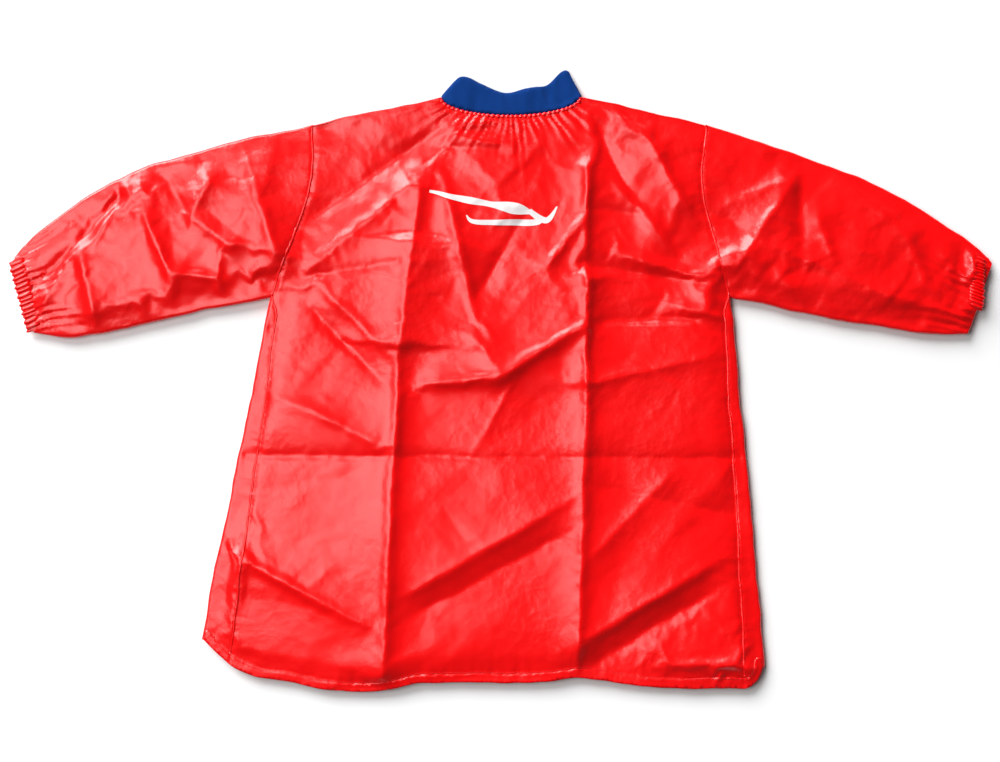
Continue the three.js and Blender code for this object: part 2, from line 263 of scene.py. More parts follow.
def strip_width(side, y):
    """How wide the back cloth shows in front of the side seam."""
    top, hem = STRIPS[side]
    return (top + (hem - top) * (ARMPIT_Y - y) / ARMPIT_Y) * ease(ARMPIT_Y, ARMPIT_Y - 0.02, y)


def side_seam(side):
    """A side seam from the armpit down past the hem."""
    y = np.linspace(ARMPIT_Y, -0.012, 80)
    return on_side(side, np.stack([side_x(y) - strip_width(side, y), y], -1))


def armhole():
    """The left armhole from the armpit up to the shoulder."""
    low = np.array([CHEST_HALF, ARMPIT_Y])
    high = np.array([SHOULDER_HALF, SHOULDER_Y])
    middle = low + (high - low) * ARMHOLE_HOLLOW_AT - (ARMHOLE_HOLLOW, 0)
    return spline([low, middle, high], 40)


def hem_corner(side, inset):
    """A corner of the hem, from the side round to the hem: rounded on the left, cut off on the right."""
    if side == "right":
        line = spline(CUT_CORNER, 8)
        return on_side(side, line - inset * left_of(ways(line)))
    radius = HEM_CORNERS[side]
    angles = np.linspace(0, math.pi / 2, 9)
    reach = radius - inset
    middle = side_x(radius) - radius
    return on_side(side, [(middle + reach * math.cos(a), radius - reach * math.sin(a)) for a in angles])


def hem_line(inset=0.0):
    """The hem from its right corner to its left one, as it lies in waves."""
    right, left = hem_corner("right", inset), hem_corner("left", inset)
    wave = spline([right[-1], *(np.array(HEM_WAVE) + (0, inset)), left[-1]], 90)
    return np.vstack([right[:-1], wave, left[::-1][1:]])


def neck_seam(lift=0.0):
    """The neck seam from the left neck point round its low middle to the right one."""
    a = np.linspace(0, -math.pi, 61)
    return np.stack([NECK_HALF * np.cos(a), NECK_Y + lift + NECK_DEPTH * np.sin(a)], -1)


SLEEVE_WAY = np.array([math.cos(SLEEVE_DROOP), -math.sin(SLEEVE_DROOP)])
SLEEVE_UP = np.array([math.sin(SLEEVE_DROOP), math.cos(SLEEVE_DROOP)])
SLEEVE_ROOT = np.array([(CHEST_HALF + SHOULDER_HALF) / 2, (ARMPIT_Y + SHOULDER_Y) / 2])


def on_sleeve(along, across):
    """A place on the left sleeve."""
    return SLEEVE_ROOT + SLEEVE_WAY * along + SLEEVE_UP * across


def sleeve_edge(side, which):
    """A sleeve's top or bottom edge, from the body to the cuff."""
    sign = 1 if which == "top" else -1
    start = (SHOULDER_HALF, SHOULDER_Y) if which == "top" else (CHEST_HALF, ARMPIT_Y)
    offsets = zip(SLEEVE_STATIONS, SLEEVE_LAY[side][which])
    middle = [on_sleeve(s * SLEEVE_LENGTH, sign * off) for s, off in offsets]
    return on_side(side, spline([start, *middle, on_sleeve(SLEEVE_LENGTH, sign * CUFF_HALF)], 60))


def sleeve_places(points, side):
    """How far along and across the side's sleeve the points lie."""
    p = on_side(side, straight(points)) - SLEEVE_ROOT
    return p @ SLEEVE_WAY, p @ SLEEVE_UP


def side_line(side):
    """A side from the armpit to the hem's corner."""
    y = np.linspace(ARMPIT_Y, HEM_CORNERS[side], 50)
    return on_side(side, np.stack([side_x(y), y], -1))


def cuff_line(side):
    """A sleeve's end, from the top down."""
    ends = [on_sleeve(SLEEVE_LENGTH, CUFF_HALF), on_sleeve(SLEEVE_LENGTH, -CUFF_HALF)]
    return on_side(side, ends)


def shoulder_line(side):
    """A shoulder from the neck to the armhole."""
    return on_side(side, [(NECK_HALF, NECK_Y), (SHOULDER_HALF, SHOULDER_Y)])


def stepped(line):
    """The line where it lies, at the cloth's even steps."""
    return evenly(laid(evenly(line, 0.003)), SPACING)


def outline(*lines):
    """The closed outline that the lines make, end to end."""
    return np.vstack([stepped(line)[:-1] for line in lines])


def one_way_round(side, *lines):
    """Lines that follow each other round the left side, turned round for the right side."""
    return lines if side == "left" else [line[::-1] for line in lines[::-1]]


def upper_outline():
    """The outline of the whole upper layer."""
    return outline(
        sleeve_edge("left", "top")[::-1],
        shoulder_line("left")[::-1],
        neck_seam(),
        shoulder_line("right"),
        sleeve_edge("right", "top"),
        cuff_line("right"),
        sleeve_edge("right", "bottom")[::-1],
        side_line("right"),
        hem_line(),
        side_line("left")[::-1],
        sleeve_edge("left", "bottom"),
        cuff_line("left")[::-1],
    )


def sleeve_outline(side):
    """The outline of a sleeve's lower layer."""
    return outline(
        *one_way_round(
            side,
            sleeve_edge(side, "top")[::-1],
            on_side(side, armhole()[::-1]),
            sleeve_edge(side, "bottom"),
            cuff_line(side)[::-1],
        )
    )


def back_outline(side):
    """A back panel's outline, which runs past the middle to its edge."""
    sign = SIDES[side]
    edge = sign * -OVERLAP / 2
    lines = hem_line(), neck_seam()[::-1]
    hem_end, neck_end = ((edge, float(np.interp(edge, *line.T))) for line in lines)
    hem, neck = (line[line[:, 0] * sign > edge * sign][::sign] for line in lines)
    return outline(
        *one_way_round(
            side,
            np.vstack([[hem_end], hem]),
            side_line(side)[::-1],
            on_side(side, armhole()),
            shoulder_line(side)[::-1],
            np.vstack([neck[::-1], [neck_end]]),
            [neck_end, hem_end],
        )
    )


# ------------------------------------------------------------------ flat meshes


def inside(points, outline):
    """Which points lie within an outline."""
    x, y = points[:, 0], points[:, 1]
    result = np.zeros(len(points), bool)
    for (x0, y0), (x1, y1) in zip(outline, np.roll(outline, 1, 0)):
        crosses = (y0 > y) != (y1 > y)
        result ^= crosses & (x < (x1 - x0) * (y - y0) / (y1 - y0 + 1e-15) + x0)
    return result


def closest(points, line):
    """For each point, the nearest of a line's points: its place, its number and its distance."""
    tree = KDTree(len(line))
    for i, p in enumerate(line):
        tree.insert((p[0], p[1], 0), i)
    tree.balance()
    return [tree.find((p[0], p[1], 0)) for p in points]


def distance_to(points, line):
    """How far each point is from the nearest point of a finely stepped line."""
    return np.array([found[2] for found in closest(points, line)])


def nearest(points, line):
    """For each point: how far along a finely stepped line its nearest point is, and how far off it."""
    run = np.r_[0, np.cumsum(np.linalg.norm(np.diff(line, axis=0), axis=1))]
    found = closest(points, line)
    return np.array([run[f[1]] for f in found]), np.array([f[2] for f in found])


def chain_in(points, line):
    """The numbers of the points that lie on each point of a line."""
    return np.array([found[1] for found in closest(line, points)])


def grid_points(low, high, step, rng):
    """Points of a slightly unsettled triangular grid over a box."""
    xs = np.arange(low[0], high[0], step)
    ys = np.arange(low[1], high[1], step * math.sqrt(0.75))
    grid = np.array([(x + step / 2 * (row % 2), y) for row, y in enumerate(ys) for x in xs])
    return grid + rng.uniform(-0.2, 0.2, grid.shape) * step


def flat_mesh(outline, lines=(), step=SPACING, *, seed):
    """Triangles that fill an outline, with edges along the lines."""
    rng = np.random.default_rng(seed)
    chains = [outline, *lines]
    fixed = np.vstack(chains)
    grid = grid_points(outline.min(0), outline.max(0), step, rng)
    grid = grid[inside(grid, outline)]
    points = [*fixed, *grid[distance_to(grid, fixed) > 0.6 * step]]
    links = []
    start = 0
    for n, chain in enumerate(chains):
        links += [(start + i, start + i + 1) for i in range(len(chain) - 1)]
        if n == 0:
            links.append((start + len(chain) - 1, start))
        start += len(chain)
    made = delaunay_2d_cdt([Vector(p) for p in points], links, [], 1, 1e-6)
    flat = np.array([tuple(p) for p in made[0]])
    faces = np.array([f for f in made[2]])
    used = np.unique(faces)
    renumber = np.zeros(len(flat), int)
    renumber[used] = np.arange(len(used))
    return flat[used], renumber[faces]


def grid_faces(rows, count, closed=False):
    """Faces between rows of as many points; closed ones join each row's end to its start."""
    faces = []
    for r in range(rows - 1):
        for i in range(count if closed else count - 1):
            a, b = r * count + i, r * count + (i + 1) % count
            faces.append((a, a + count, b + count, b))
    return faces


def mesh_object(name, points, faces):
    """A piece with smooth shading in the scene."""
    mesh = bpy.data.meshes.new(name)
    mesh.from_pydata([tuple(p) for p in points], [], [tuple(int(i) for i in f) for f in faces])
    mesh.polygons.foreach_set("use_smooth", [True] * len(mesh.polygons))
    piece = bpy.data.objects.new(name, mesh)
    bpy.context.scene.collection.objects.link(piece)
    return piece


def finished_mesh(piece):
    """The piece's mesh with its modifiers applied, which replaces its mesh."""
    graph = bpy.context.evaluated_depsgraph_get()
    graph.update()
    mesh = bpy.data.meshes.new_from_object(piece.evaluated_get(graph))
    piece.modifiers.clear()
    piece.data = mesh
    return piece


def thickened(piece, thickness, offset=0):
    """The piece, its cloth given a thickness."""
    solid = piece.modifiers.new("thickness", "SOLIDIFY")
    solid.thickness = thickness
    solid.offset = offset
    return finished_mesh(piece)


def smoothed(piece):
    """The piece, its faces parted once and rounded."""
    piece.modifiers.new("smooth", "SUBSURF").levels = 1
    return finished_mesh(piece)


def points_of(piece):
    """A piece's points, in rows."""
    flat = np.empty(len(piece.data.vertices) * 3)
    piece.data.vertices.foreach_get("co", flat)
    return flat.reshape(-1, 3)


def set_points(piece, points):
    """Moves a piece's points."""
    piece.data.vertices.foreach_set("co", np.asarray(points, float).ravel())
    piece.data.update()


# ------------------------------------------------------------------ folds of the cloth

DOWN = Vector((0, 0, -1))


def lumps(points, size, seed):
    """Smooth noise, about -1 to 1, whose lumps are about this size."""
    shift = Vector((seed * 7.31, seed * 3.17, seed * 1.73))
    return np.array([noise.noise(Vector((x / size, y / size, 0)) + shift) for x, y in points[:, :2]])


def facets(points, size, seed, stretch=1.0, way=0.0):
    """Heights from -1 to 1 of a crumpled sheet: flat facets of about this size, which meet in ridges."""
    rng = np.random.default_rng(seed)
    c, s = math.cos(way), math.sin(way)
    flat = points[:, :2] @ np.array([[c, -s], [s, c]]) / (size * stretch, size)
    low, high = flat.min(0) - 2, flat.max(0) + 2
    xs, ys = np.meshgrid(np.arange(low[0], high[0]), np.arange(low[1], high[1]))
    corners = np.stack([xs.ravel(), ys.ravel()], -1) + rng.uniform(-0.45, 0.45, (xs.size, 2))
    made = delaunay_2d_cdt([Vector(p) for p in corners], [], [], 0, 1e-6)
    heights = rng.uniform(-1, 1, len(made[0]))
    tree = BVHTree.FromPolygons([(p.x, p.y, h) for p, h in zip(made[0], heights)], made[2])
    hits = [tree.ray_cast(Vector((x, y, 5)), DOWN)[0] for x, y in flat]
    return np.array([hit.z if hit else 0.0 for hit in hits])


def from_line(points, start, end):
    """How far points lie along a straight line, as a share of it, and off it, positive to its left."""
    start, end = np.asarray(start, float), np.asarray(end, float)
    way = end - start
    length = np.linalg.norm(way)
    way = way / length
    rel = points[:, :2] - start
    return rel @ way / length, rel @ np.array([-way[1], way[0]])


def ridge(points, start, end, height, left, right=None, fade=0.15, soft=0.0012):
    """A fold along a straight line, as wide to its left and right as they say, that fades out at its ends."""
    share, off = from_line(points, start, end)
    window = ease(-fade, fade, share) * ease(-fade, fade, 1 - share)
    width = np.where(off > 0, left, left if right is None else right)
    return height * window * np.exp(-(np.sqrt(off**2 + soft**2) - soft) / width)


# How softly folds fade out at their ends, as a share of their length
PACKED_FADE = 0.05
LOOSE_FADE = 0.2
# Folds pressed into it while it lay packed, in the straight garment: start, end, height, width each side
PACKED_FOLDS = [
    ((-0.086, 0.500), (-0.090, 0.420), 0.0036, 0.010, 0.016),
    ((-0.090, 0.445), (-0.098, 0.340), 0.0084, 0.032, 0.020),
    ((-0.098, 0.350), (-0.097, -0.010), 0.0060, 0.012, 0.026),
    ((0.079, 0.520), (0.085, 0.400), 0.0040, 0.012, 0.012),
    ((0.085, 0.410), (0.090, 0.300), 0.0046, 0.010, 0.016),
    ((0.090, 0.310), (0.097, -0.010), 0.0056, 0.010, 0.022),
    ((-0.275, 0.228), (0.275, 0.228), -0.0018, 0.012, 0.012),
    ((0.079, 0.421), (0.222, 0.399), -0.0034, 0.012, 0.009),
    ((-0.097, 0.425), (-0.215, 0.405), -0.0016, 0.010, 0.010),
]
# Folds from how it was laid down
LOOSE_FOLDS = [
    ((-0.069, 0.557), (-0.199, 0.460), -0.0060, 0.026, 0.022),
    ((-0.080, 0.512), (-0.192, 0.415), 0.0030, 0.014, 0.012),
    ((-0.060, 0.495), (-0.028, 0.380), 0.0050, 0.010, 0.018),
    ((0.020, 0.470), (-0.026, 0.385), -0.0034, 0.016, 0.012),
    ((0.079, 0.465), (0.043, 0.417), 0.0040, 0.008, 0.009),
    ((-0.071, 0.300), (0.004, 0.307), 0.0050, 0.030, 0.007),
    ((0.000, 0.306), (0.091, 0.363), 0.0054, 0.030, 0.007),
    ((-0.028, 0.350), (0.010, 0.306), 0.0026, 0.014, 0.010),
    ((-0.204, 0.391), (-0.113, 0.304), -0.0036, 0.012, 0.009),
    ((-0.170, 0.390), (-0.105, 0.330), 0.0024, 0.010, 0.010),
    ((0.085, 0.560), (0.130, 0.480), -0.0042, 0.013, 0.013),
    ((0.125, 0.565), (0.185, 0.470), 0.0044, 0.010, 0.022),
    ((0.110, 0.500), (0.165, 0.440), 0.0038, 0.012, 0.014),
    ((0.085, 0.475), (0.140, 0.470), -0.0024, 0.008, 0.010),
    ((0.120, 0.430), (0.200, 0.405), 0.0026, 0.008, 0.008),
    ((0.090, 0.300), (0.210, 0.330), 0.0026, 0.014, 0.020),
    ((0.085, 0.005), (0.225, 0.095), -0.0060, 0.022, 0.018),
    ((-0.078, 0.090), (0.066, 0.178), 0.0054, 0.034, 0.013),
    ((-0.078, 0.066), (0.075, 0.152), -0.0030, 0.014, 0.030),
    ((0.088, 0.362), (0.222, 0.368), -0.0050, 0.020, 0.010),
    ((0.098, 0.046), (0.226, 0.126), 0.0066, 0.030, 0.013),
    ((-0.250, 0.130), (-0.120, 0.060), 0.0036, 0.022, 0.022),
    ((-0.220, 0.290), (-0.110, 0.240), 0.0030, 0.018, 0.018),
    ((0.110, 0.200), (0.250, 0.170), -0.0030, 0.020, 0.020),
    ((0.105, 0.130), (0.180, 0.215), 0.0032, 0.016, 0.016),
]
# The same for each sleeve, along and across it
SLEEVE_FOLDS = {
    "right": [
        ((0.275, 0.000), (0.208, 0.037), -0.0052, 0.009, 0.008),
        ((0.212, 0.034), (0.160, 0.064), -0.0044, 0.008, 0.010),
        ((0.260, -0.016), (0.214, 0.030), 0.0036, 0.008, 0.008),
        ((0.210, 0.036), (0.217, -0.056), 0.0044, 0.008, 0.016),
        ((0.139, 0.040), (0.131, -0.026), 0.0046, 0.012, 0.012),
        ((0.133, -0.022), (0.080, -0.050), 0.0038, 0.010, 0.010),
        ((0.066, 0.055), (-0.020, 0.029), -0.0050, 0.014, 0.014),
        ((0.064, 0.056), (0.100, 0.022), 0.0048, 0.014, 0.016),
        ((0.100, 0.024), (0.062, -0.020), 0.0040, 0.014, 0.014),
        ((0.121, 0.086), (0.098, 0.026), -0.0030, 0.012, 0.010),
        ((-0.005, 0.075), (0.020, 0.030), 0.0030, 0.010, 0.010),
        ((0.005, -0.050), (0.070, -0.010), 0.0024, 0.012, 0.012),
        ((0.030, 0.058), (0.024, -0.045), 0.0056, 0.030, 0.018),
    ],
    "left": [
        ((0.068, 0.054), (0.100, -0.030), -0.0046, 0.022, 0.012),
        ((0.095, 0.030), (0.128, -0.014), 0.0030, 0.012, 0.020),
        ((0.062, 0.056), (0.040, -0.040), 0.0080, 0.030, 0.014),
        ((0.062, -0.018), (0.198, -0.028), 0.0052, 0.024, 0.009),
        ((0.190, -0.028), (0.278, -0.024), 0.0036, 0.014, 0.010),
        ((0.095, 0.074), (0.185, 0.035), 0.0050, 0.018, 0.022),
        ((0.184, 0.037), (0.229, -0.012), 0.0048, 0.014, 0.020),
        ((-0.010, -0.005), (0.054, 0.048), 0.0034, 0.010, 0.010),
        ((0.000, -0.002), (0.047, -0.018), -0.0030, 0.010, 0.010),
        ((0.077, -0.040), (0.117, -0.063), 0.0026, 0.009, 0.009),
        ((0.245, 0.040), (0.262, -0.020), -0.0040, 0.009, 0.010),
        ((0.262, 0.010), (0.225, 0.030), 0.0032, 0.008, 0.008),
    ],
}


def sleeve_share(points, side):
    """0 on the body and 1 on the side's sleeve."""
    along, across = sleeve_places(points, side)
    beside = ease(0.118, 0.098, np.abs(across))
    return ease(-0.01, 0.03, along) * beside * (np.sign(straight(points)[:, 0]) == SIDES[side])


def big_folds(points):
    """The folds that the cloth is given before it settles."""
    flat = straight(points)
    height = np.zeros(len(points))
    on_sleeves = np.zeros(len(points))
    for side in SIDES:
        along, across = sleeve_places(points, side)
        share = sleeve_share(points, side)
        on_sleeves += share
        places = np.stack([along, across], -1)
        for fold in SLEEVE_FOLDS[side]:
            height += share * ridge(places, *fold, fade=LOOSE_FADE)
        height += share * 0.0022 * facets(places, 0.040, 11 + SIDES[side], 1.5, 0.5 * SIDES[side])
    body = 1 - on_sleeves
    for folds, fade in ((PACKED_FOLDS, PACKED_FADE), (LOOSE_FOLDS, LOOSE_FADE)):
        for fold in folds:
            height += body * ridge(flat, *fold, fade=fade)
    chest = ease(0.25, 0.50, flat[:, 1])
    height += body * (0.0020 + 0.0008 * chest) * facets(flat, 0.070, 3, 1.4, 0.7)
    return height


def neck_pleats(flat):
    """Gathers that run out from the neck seam."""
    rel = flat - (0, NECK_Y + 0.03)
    _, gap = nearest(flat, evenly(neck_seam(), 0.001))
    turn = np.arctan2(-rel[:, 1], rel[:, 0])
    wander = lumps(np.stack([turn, gap * 8], -1), 0.13, 5)
    reach = 0.013 + 0.007 * np.sin(turn * 9 + 1) + 0.008 * np.sin(turn * 23)
    return np.cos(turn * 62 + 2.6 * wander) * np.exp(-gap / np.maximum(reach, 0.007))


def cuff_pleats(points, side):
    """Gathers that run up each sleeve from its cuff."""
    along, across = sleeve_places(points, side)
    back = np.maximum(0, SLEEVE_LENGTH - CASING_WIDTH - along)
    spread = across * (1 - 0.35 * ease(0, 0.08, back))
    run = spread / 0.0075 * 2 * math.pi + 1.5 * lumps(np.stack([spread, back * 0.3], -1), 0.015, 9)
    reach = 0.015 + 0.012 * np.sin(spread * 160)
    return np.cos(run) * np.exp(-back / np.maximum(reach, 0.005)) * sleeve_share(points, side)


def seam_puckers(points, line, height, reach, size, seed):
    """Small pulls across a seam, and the groove that its stitches draw."""
    run, off = nearest(points, evenly(line, 0.001))
    pull = lumps(np.stack([run, np.zeros(len(run))], -1), size, seed)
    return height * pull * np.exp(-off / reach), off


def fine_crinkles(points):
    """What is too small to be settled with the cloth: crinkles, gathers, puckers and grooves."""
    flat = straight(points)
    on_sleeves = sum(sleeve_share(points, side) for side in SIDES)
    chest = ease(0.20, 0.52, flat[:, 1]) * (1 - on_sleeves)
    patches = 0.5 + 0.5 * lumps(points, 0.07, 21)
    strength = (0.25 + 0.75 * patches) * (0.30 + 0.5 * chest + 0.7 * on_sleeves)
    height = (0.0005 + 0.0014 * strength) * facets(points, 0.030, 30, 1.6, -0.3)
    height += 0.0013 * strength * facets(points, 0.014, 31, 1.8, 0.9)
    height += 0.00048 * strength * facets(points, 0.007, 32, 1.5, -0.5)
    uneven = 1 + 0.6 * lumps(points, 0.009, 6)
    for folds, crisp, fade in ((PACKED_FOLDS, 0.0009, PACKED_FADE), (LOOSE_FOLDS, 0.0005, LOOSE_FADE)):
        for start, end, rise, _, _ in folds:
            line = ridge(flat, start, end, np.sign(rise) * crisp, 0.0034, fade=fade)
            height += (1 - on_sleeves) * line * uneven
    for side in SIDES:
        places = np.stack(sleeve_places(points, side), -1)
        for start, end, rise, _, _ in SLEEVE_FOLDS[side]:
            line = ridge(places, start, end, np.sign(rise) * 0.0005, 0.0036, fade=LOOSE_FADE)
            height += sleeve_share(points, side) * line * uneven
    height += 0.0013 * neck_pleats(flat)
    for side in SIDES:
        height += 0.0013 * cuff_pleats(points, side)
        for line, pull in ((on_side(side, armhole()), 0.0007), (side_seam(side), 0.0005)):
            pucker, off = seam_puckers(points, laid(line), pull, 0.010, 0.006, 7)
            height += pucker - 0.0009 * np.exp(-((off / 0.0017) ** 2))
    pucker, off = seam_puckers(points, laid(hem_line(HEM_WIDTH)), 0.0006, 0.009, 0.007, 8)
    height += pucker - 0.0003 * np.exp(-((off / 0.0013) ** 2))
    return height


# ------------------------------------------------------------------ the cloth of the smock

BACK_REGIONS = ("back_left", "back_right", "flap")
REGIONS = ("front", "hem", "strip_left", "strip_right", "sleeve_left", "sleeve_right", *BACK_REGIONS)


def upper_regions(places):
    """Which piece each place on the upper layer belongs to."""
    flat = straight(places)
    x, y = flat.T
    hole = armhole()
    wide = np.abs(x)
    body_edge = np.where(y > ARMPIT_Y, np.interp(y, hole[:, 1], hole[:, 0]), side_x(y))
    left = x > 0
    strip = np.where(left, strip_width("left", y), strip_width("right", y))
    _, from_hem = nearest(places, evenly(laid(evenly(hem_line(), 0.002)), 0.001))
    region = np.full(len(x), REGIONS.index("front"))
    in_strip = (y < ARMPIT_Y) & (wide > side_x(y) - strip)
    region[in_strip & left] = REGIONS.index("strip_left")
    region[in_strip & ~left] = REGIONS.index("strip_right")
    region[from_hem < HEM_WIDTH] = REGIONS.index("hem")
    region[(wide > body_edge) & left] = REGIONS.index("sleeve_left")
    region[(wide > body_edge) & ~left] = REGIONS.index("sleeve_right")
    return region


def edge_height(places):
    """How high the upper layer's edge lies."""
    flat = straight(places)
    x, y = flat.T
    height = np.full(len(x), EDGE_Z + 0.0012)
    height += 0.0032 * ease(SHOULDER_HALF, NECK_HALF, np.abs(x)) * ease(0.50, 0.56, y)
    height += 0.0008 * ease(0.24, 0.05, np.abs(x)) * ease(0.10, 0.03, y)
    for side in SIDES:
        along, _ = sleeve_places(places, side)
        height += (0.0014 - 0.0010 * ease(0.24, 0.28, along)) * sleeve_share(places, side)
    return height + 0.0007 * lumps(places, 0.030, 14)


COATED_CLOTH = {
    "quality": 5,
    "mass": 0.15,
    "tension_stiffness": 30,
    "compression_stiffness": 30,
    "shear_stiffness": 10,
    "bending_stiffness": 0.9,
    "tension_damping": 5,
    "compression_damping": 5,
    "shear_damping": 3,
    "air_damping": 2,
    "shrink_min": -0.014,
}


def settle(piece, pinned, bed):
    """Lets the cloth come to rest on what lies under it, with its edge held."""
    group = piece.vertex_groups.new(name="held")
    group.add([int(i) for i in pinned], 1, "REPLACE")
    scale = Matrix.Scale(SIM_SCALE, 4)
    piece.data.transform(scale)
    bed.data.transform(scale)
    bed.modifiers.new("bed", "COLLISION")
    bed.collision.thickness_outer = 0.004
    bed.collision.cloth_friction = 20
    cloth = piece.modifiers.new("cloth", "CLOTH")
    for name, value in COATED_CLOTH.items():
        setattr(cloth.settings, name, value)
    cloth.settings.vertex_group_mass = "held"
    cloth.collision_settings.distance_min = 0.006
    cloth.collision_settings.collision_quality = 2
    scene = bpy.context.scene
    cloth.point_cache.frame_start = 1
    cloth.point_cache.frame_end = SETTLE_FRAMES
    for number in range(1, SETTLE_FRAMES + 1):
        scene.frame_set(number)
    finished_mesh(piece)
    piece.data.transform(Matrix.Scale(1 / SIM_SCALE, 4))
    bpy.data.objects.remove(bed)


def kept_under(heights, top):
    """The heights, with those near the top or over it eased back under it."""
    return top - np.logaddexp(0, (top - heights) / 0.0009) * 0.0009


def upper_layer():
    """The whole upper layer, settled: its points and its faces."""
    edge = upper_outline()
    seams = [evenly(laid(on_side(side, armhole())), SPACING * 0.7) for side in SIDES]
    seams += [evenly(laid(side_seam(side)), SPACING * 0.7) for side in SIDES]
    seams.append(evenly(laid(hem_line(HEM_WIDTH)), SPACING * 0.7))
    flat, faces = flat_mesh(edge, seams, seed=7)
    gap = distance_to(flat, evenly(edge, 0.002, closed=True))
    rim = np.flatnonzero(gap < 1e-5)
    edge_z = edge_height(flat)
    away = ease(0, 0.030, gap)
    rise = edge_z * (1 - away) + (EDGE_Z + LOFT) * away
    height = rise + big_folds(flat) * ease(0, 0.022, gap)
    least = BACK_Z + 0.0024 * ease(0.045, 0.020, np.abs(straight(flat)[:, 0]))
    height = least + np.logaddexp(0, (height - least) / 0.0008) * 0.0008
    height = kept_under(height, FOLDS_TOP)
    height = height * ease(0, 0.004, gap) + edge_z * (1 - ease(0, 0.004, gap))
    piece = mesh_object("upper_layer", np.column_stack([flat, height]), faces)
    under = height - 0.0012 - 0.0008 * away
    bed = mesh_object("bed", np.column_stack([flat, under]), faces)
    settle(piece, rim, bed)
    points = points_of(piece)
    free = ease(0.001, 0.016, gap)[:, None]
    points = points * free + np.column_stack([flat, height]) * (1 - free)
    regions = upper_regions(flat[faces].mean(1))
    bpy.data.objects.remove(piece)
    return points, faces, regions, flat


def climb(x):
    """How much higher the left back panel lies where it passes over the right one's edge."""
    return CLIMB_HEIGHT * ease(*CLIMB, x)


def back_layer(side):
    """A back panel lying flat, raised where it passes over the other one's edge."""
    edge = back_outline(side)
    low, high = np.array(frame_fold_line())
    hinge = evenly(np.array([low, high]), SPACING)
    flat, faces = flat_mesh(edge, [hinge] if side == "right" else [], step=0.009, seed=9)
    x, _ = straight(flat).T
    if side == "left":
        height = UNDERSIDE + climb(x)
        regions = np.full(len(faces), REGIONS.index("back_left"))
    else:
        height = np.full(len(x), UNDERSIDE)
        middle = flat[faces].mean(1)
        _, off = from_line(middle, low, high)
        regions = np.where(off > 0, REGIONS.index("back_right"), REGIONS.index("flap"))
    height = height + 0.00025 * facets(flat, 0.030, 17, 1.5, 0.4)
    return np.column_stack([flat, height]), faces, regions


def frame_fold_line():
    """The line that the back flap turns on, from the hem to the neck."""
    joint = next(j for j in frame["joints"] if j["name"] == "back_flap_open")
    at = np.array(joint["pos_m"][:2])
    way = np.array(joint["axis"][:2]) / joint["axis"][1]
    return at - way * 0.03, at + way * 0.62


def sleeve_under(side):
    """A sleeve's lower layer."""
    edge = sleeve_outline(side)
    flat, faces = flat_mesh(edge, step=0.008, seed=10)
    gap = distance_to(flat, evenly(edge, 0.002, closed=True))
    height = UNDERSIDE + 0.0008 * ease(0.24, 0.28, sleeve_places(flat, side)[0])
    height += 0.0004 * ease(0, 0.01, gap) * (1 + facets(flat, 0.022, 18, 1.5, 0.4))
    return np.column_stack([flat, height]), faces, np.full(len(faces), REGIONS.index(f"sleeve_{side}"))


class Cloth:
    """Points and faces that grow as layers are joined on."""

    def __init__(self):
        self.points, self.faces, self.regions = [], [], []

    def add(self, points, faces, regions):
        """Joins a layer on and says where its points start."""
        start = len(self.points)
        self.points += [tuple(p) for p in points]
        self.faces += [tuple(int(i) + start for i in f) for f in faces]
        self.regions += [int(r) for r in regions]
        return start

    def roll(self, upper, lower, region):
        """Turns the cloth round an edge, from the upper layer's chain of points to the lower one's."""
        top = np.array([self.points[i] for i in upper])
        low = np.array([self.points[i] for i in lower])
        outward = np.column_stack([-left_of(ways(top[:, :2])), np.zeros(len(top))])
        bulge = ((top[:, 2] - low[:, 2]) / 2)[:, None] * 0.8
        rings = [upper]
        for turn in (45, 90, 135):
            a = math.radians(turn)
            ring = top * (1 + math.cos(a)) / 2 + low * (1 - math.cos(a)) / 2 + outward * bulge * math.sin(a)
            rings.append(range(len(self.points), len(self.points) + len(ring)))
            self.points += [tuple(p) for p in ring]
        rings.append(lower)
        for above, below in zip(rings, rings[1:]):
            for i in range(len(above) - 1):
                self.faces.append((int(above[i]), int(below[i]), int(below[i + 1]), int(above[i + 1])))
                self.regions.append(REGIONS.index(region))


